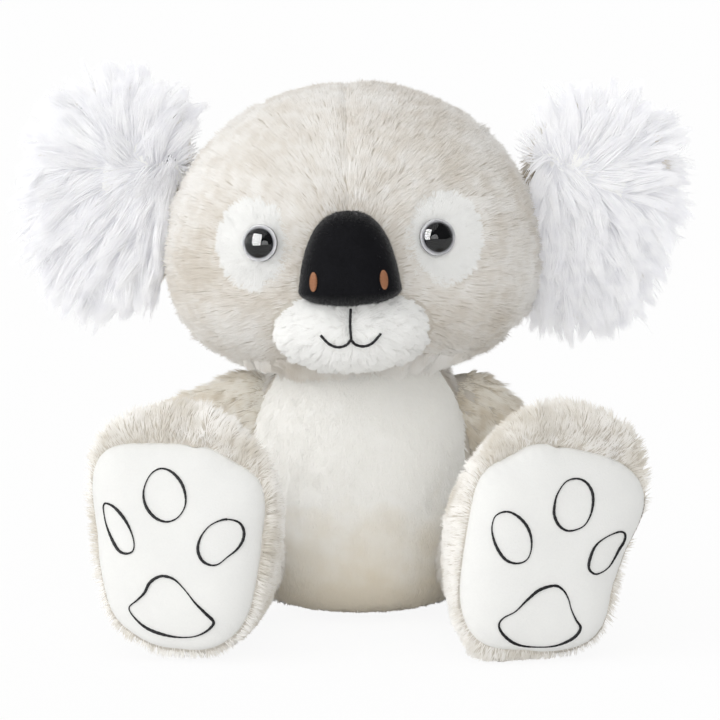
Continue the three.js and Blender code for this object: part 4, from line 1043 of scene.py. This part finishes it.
def sole_rings(side):
    """Rings from the sole's middle to its rim, then back under the fold of its seam. Each is the sole's oval
    times its share, and near the rim a sine wave puckers it."""
    turn = np.linspace(0, 2 * np.pi, 180, endpoint=False)[None]
    share = np.concatenate([np.linspace(0.02, 0.9, 40), np.linspace(0.915, 1, 14)])[:, None]
    dimple = 1 - 0.03 * np.exp(-((turn - 1.66) / 0.06) ** 2) * smooth_step(share, 0.8, 1)
    x = share * dimple * rim_share(turn, side) * SOLE["wide"] * power(np.cos(turn), SOLE["power"])
    z = share * dimple * rim_share(turn, side) * SOLE["tall"] * power(np.sin(turn), SOLE["power"])
    pucker = 0.22 * smooth_step(share, 0.86, 0.99) * np.sin(44 * turn + 1.5 * np.sin(4 * turn))
    pucker = pucker - 0.5 * np.exp(-((turn - 1.66) / 0.09) ** 2) * smooth_step(share, 0.7, 1)
    front = sole_place(x, z, side, pucker)
    under = front[-1:] + np.array([0, 3.0, 0])
    inner = front[-8:-7] + np.array([0, 6.0, 0])
    return np.concatenate([front, under, inner])


def looped(rings):
    """Points and quads over rings that stand along a closed line: the last one joins the first."""
    number = np.arange(rings.size // 3).reshape(rings.shape[:2])
    loop = np.vstack([number, number[:1]])
    after = np.roll(loop, -1, 1)
    quads = np.stack([loop[:-1], after[:-1], after[1:], loop[1:]], -1).reshape(-1, 4)
    return rings.reshape(-1, 3), [quads]


for hand, side in ((-1, "left"), (1, "right")):
    leg_cloth = panel(f"leg_cloth_{side}", skin_over(leg_rings(side, PILE_SINK)), grey_backing)

    def leg_spread(spots, side=side):
        """No pile under the sole."""
        roll = -math.radians(SOLE_ROLL[side])
        reach = sole_reach(*spin(spots[:, 0], spots[:, 2] - SOLE_UP, roll), side)
        return np.where((reach < 0.97) & (spots[:, 1] < -86), 0.0, 1.0)

    def leg_comb(spots, out):
        """Back along the leg from the sole, outwards beside its rim, and down over the hip's end."""
        rim = smooth_step(-spots[:, 1], 82, 100)[:, None]
        end = smooth_step(spots[:, 1], -10, 6)[:, None]
        radial = unit(np.stack([spots[:, 0], 0 * spots[:, 0], spots[:, 2] - SOLE_UP], -1))
        along = np.array([0, 1.3, -0.2]) * (1 - 0.3 * rim) + radial * 0.7 * rim
        return along * (1 - end) + np.array([0, 0.2, -1.2]) * end

    leg_coat = pile(f"leg_fur_painted_light_{side}", leg_cloth, leg_fur_painted_light, 54000, 8.5, 0.42, leg_comb, 80 + hand, tuft=6,
                    gather=0.2, lean=0.08, loose=0.08, stand=0.35, floor=-LEG["hip"], toward=(0, -0.5, 0.15),
                    spread=leg_spread, trim=lambda s: 1 - 0.3 * smooth_step(-s[:, 1], 75, 98))
    sole = panel(f"sole_cloth_{side}", skin_over(sole_rings(side)), sole_plush)
    filling = panel(f"leg_filling_{side}", skin_over(leg_rings(side, PILE_SINK + 2.6)[:120]), fibre_fill)
    made_here = [(leg_cloth, "grey_plush", [f"leg_cover_{side}"], 0.8),
                 (leg_coat, "grey_plush", [], None),
                 (filling, "polyester_fill", [f"leg_stuffing_{side}"], 0.8),
                 (sole, "white_short_plush", [f"foot_sole_{side}"], 0.7)]
    outlines = {f"toe_{toe}": (f"toe_outline_{toe}", TOES[toe, side])
                for toe in ("middle", "outer", "inner")}
    outlines["pad"] = ("pad_outline", PADS[side])
    for name, (node, knots) in outlines.items():
        line = smooth_line(knots, 12 * len(knots), closed=True)
        count = len(line)
        thick = THREAD * (0.8 + 0.35 * np.sin(np.arange(count) * 0.09 + count))
        rings = stitched_line(sole_place(*line.T, side, 0.3), np.tile([0, -1.0, 0.2], (count, 1)),
                              closed=True, thick=thick)
        made_here.append((piece(f"{name}_stitches_{side}", *looped(rings), black_thread),
                          "black_thread", [f"{node}_{side}"], None))
    stand = (Matrix.Translation((LEG["out"] / 1000, -LEG["front"] / 1000, LEG["hip"] / 1000))
             @ Matrix.Rotation(math.radians(LEG_YAW[side]), 4, "Z"))
    for made, slot, nodes, full in made_here:
        worn(moved(made, stand, hand < 0), f"leg_{side}", slot, *nodes, fill=full)

# Inside: loose white fibre fills the covers, a cotton bag of pellets weighs the seat, and a white washer
# locks each eye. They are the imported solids, with finishes of their own.


def cotton(wire):
    """Unbleached weave, as small even cells."""
    place = wire.node("TexCoord", output="Object")
    weave = wire.node("TexVoronoi", {}, {"Vector": place, "Scale": 700.0})
    return {"Base Color": weave.between(dye(226, 221, 208), dye(205, 198, 182)), "Roughness": 0.9,
            "Normal": bump(weave, 0.4, 0.0005)}


def moulded(wire):
    """White plastic with the fine grain of its mould."""
    grain = noise(wire, 800.0)
    return {"Base Color": grain.between(dye(226, 226, 222), dye(238, 238, 235)),
            "Roughness": grain * 0.2 + 0.35, "Normal": bump(grain, 0.2, 0.0001)}


inner_finishes = {"stuffing": fibre_fill, "wad": finish("wadding", fibre),
                  "bean_bag": finish("bean_cotton", cotton), "washer": finish("white_washer", moulded)}
for name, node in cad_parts.items():
    for word, material in inner_finishes.items():
        if word in name:
            node.data.materials.clear()
            node.data.materials.append(material)
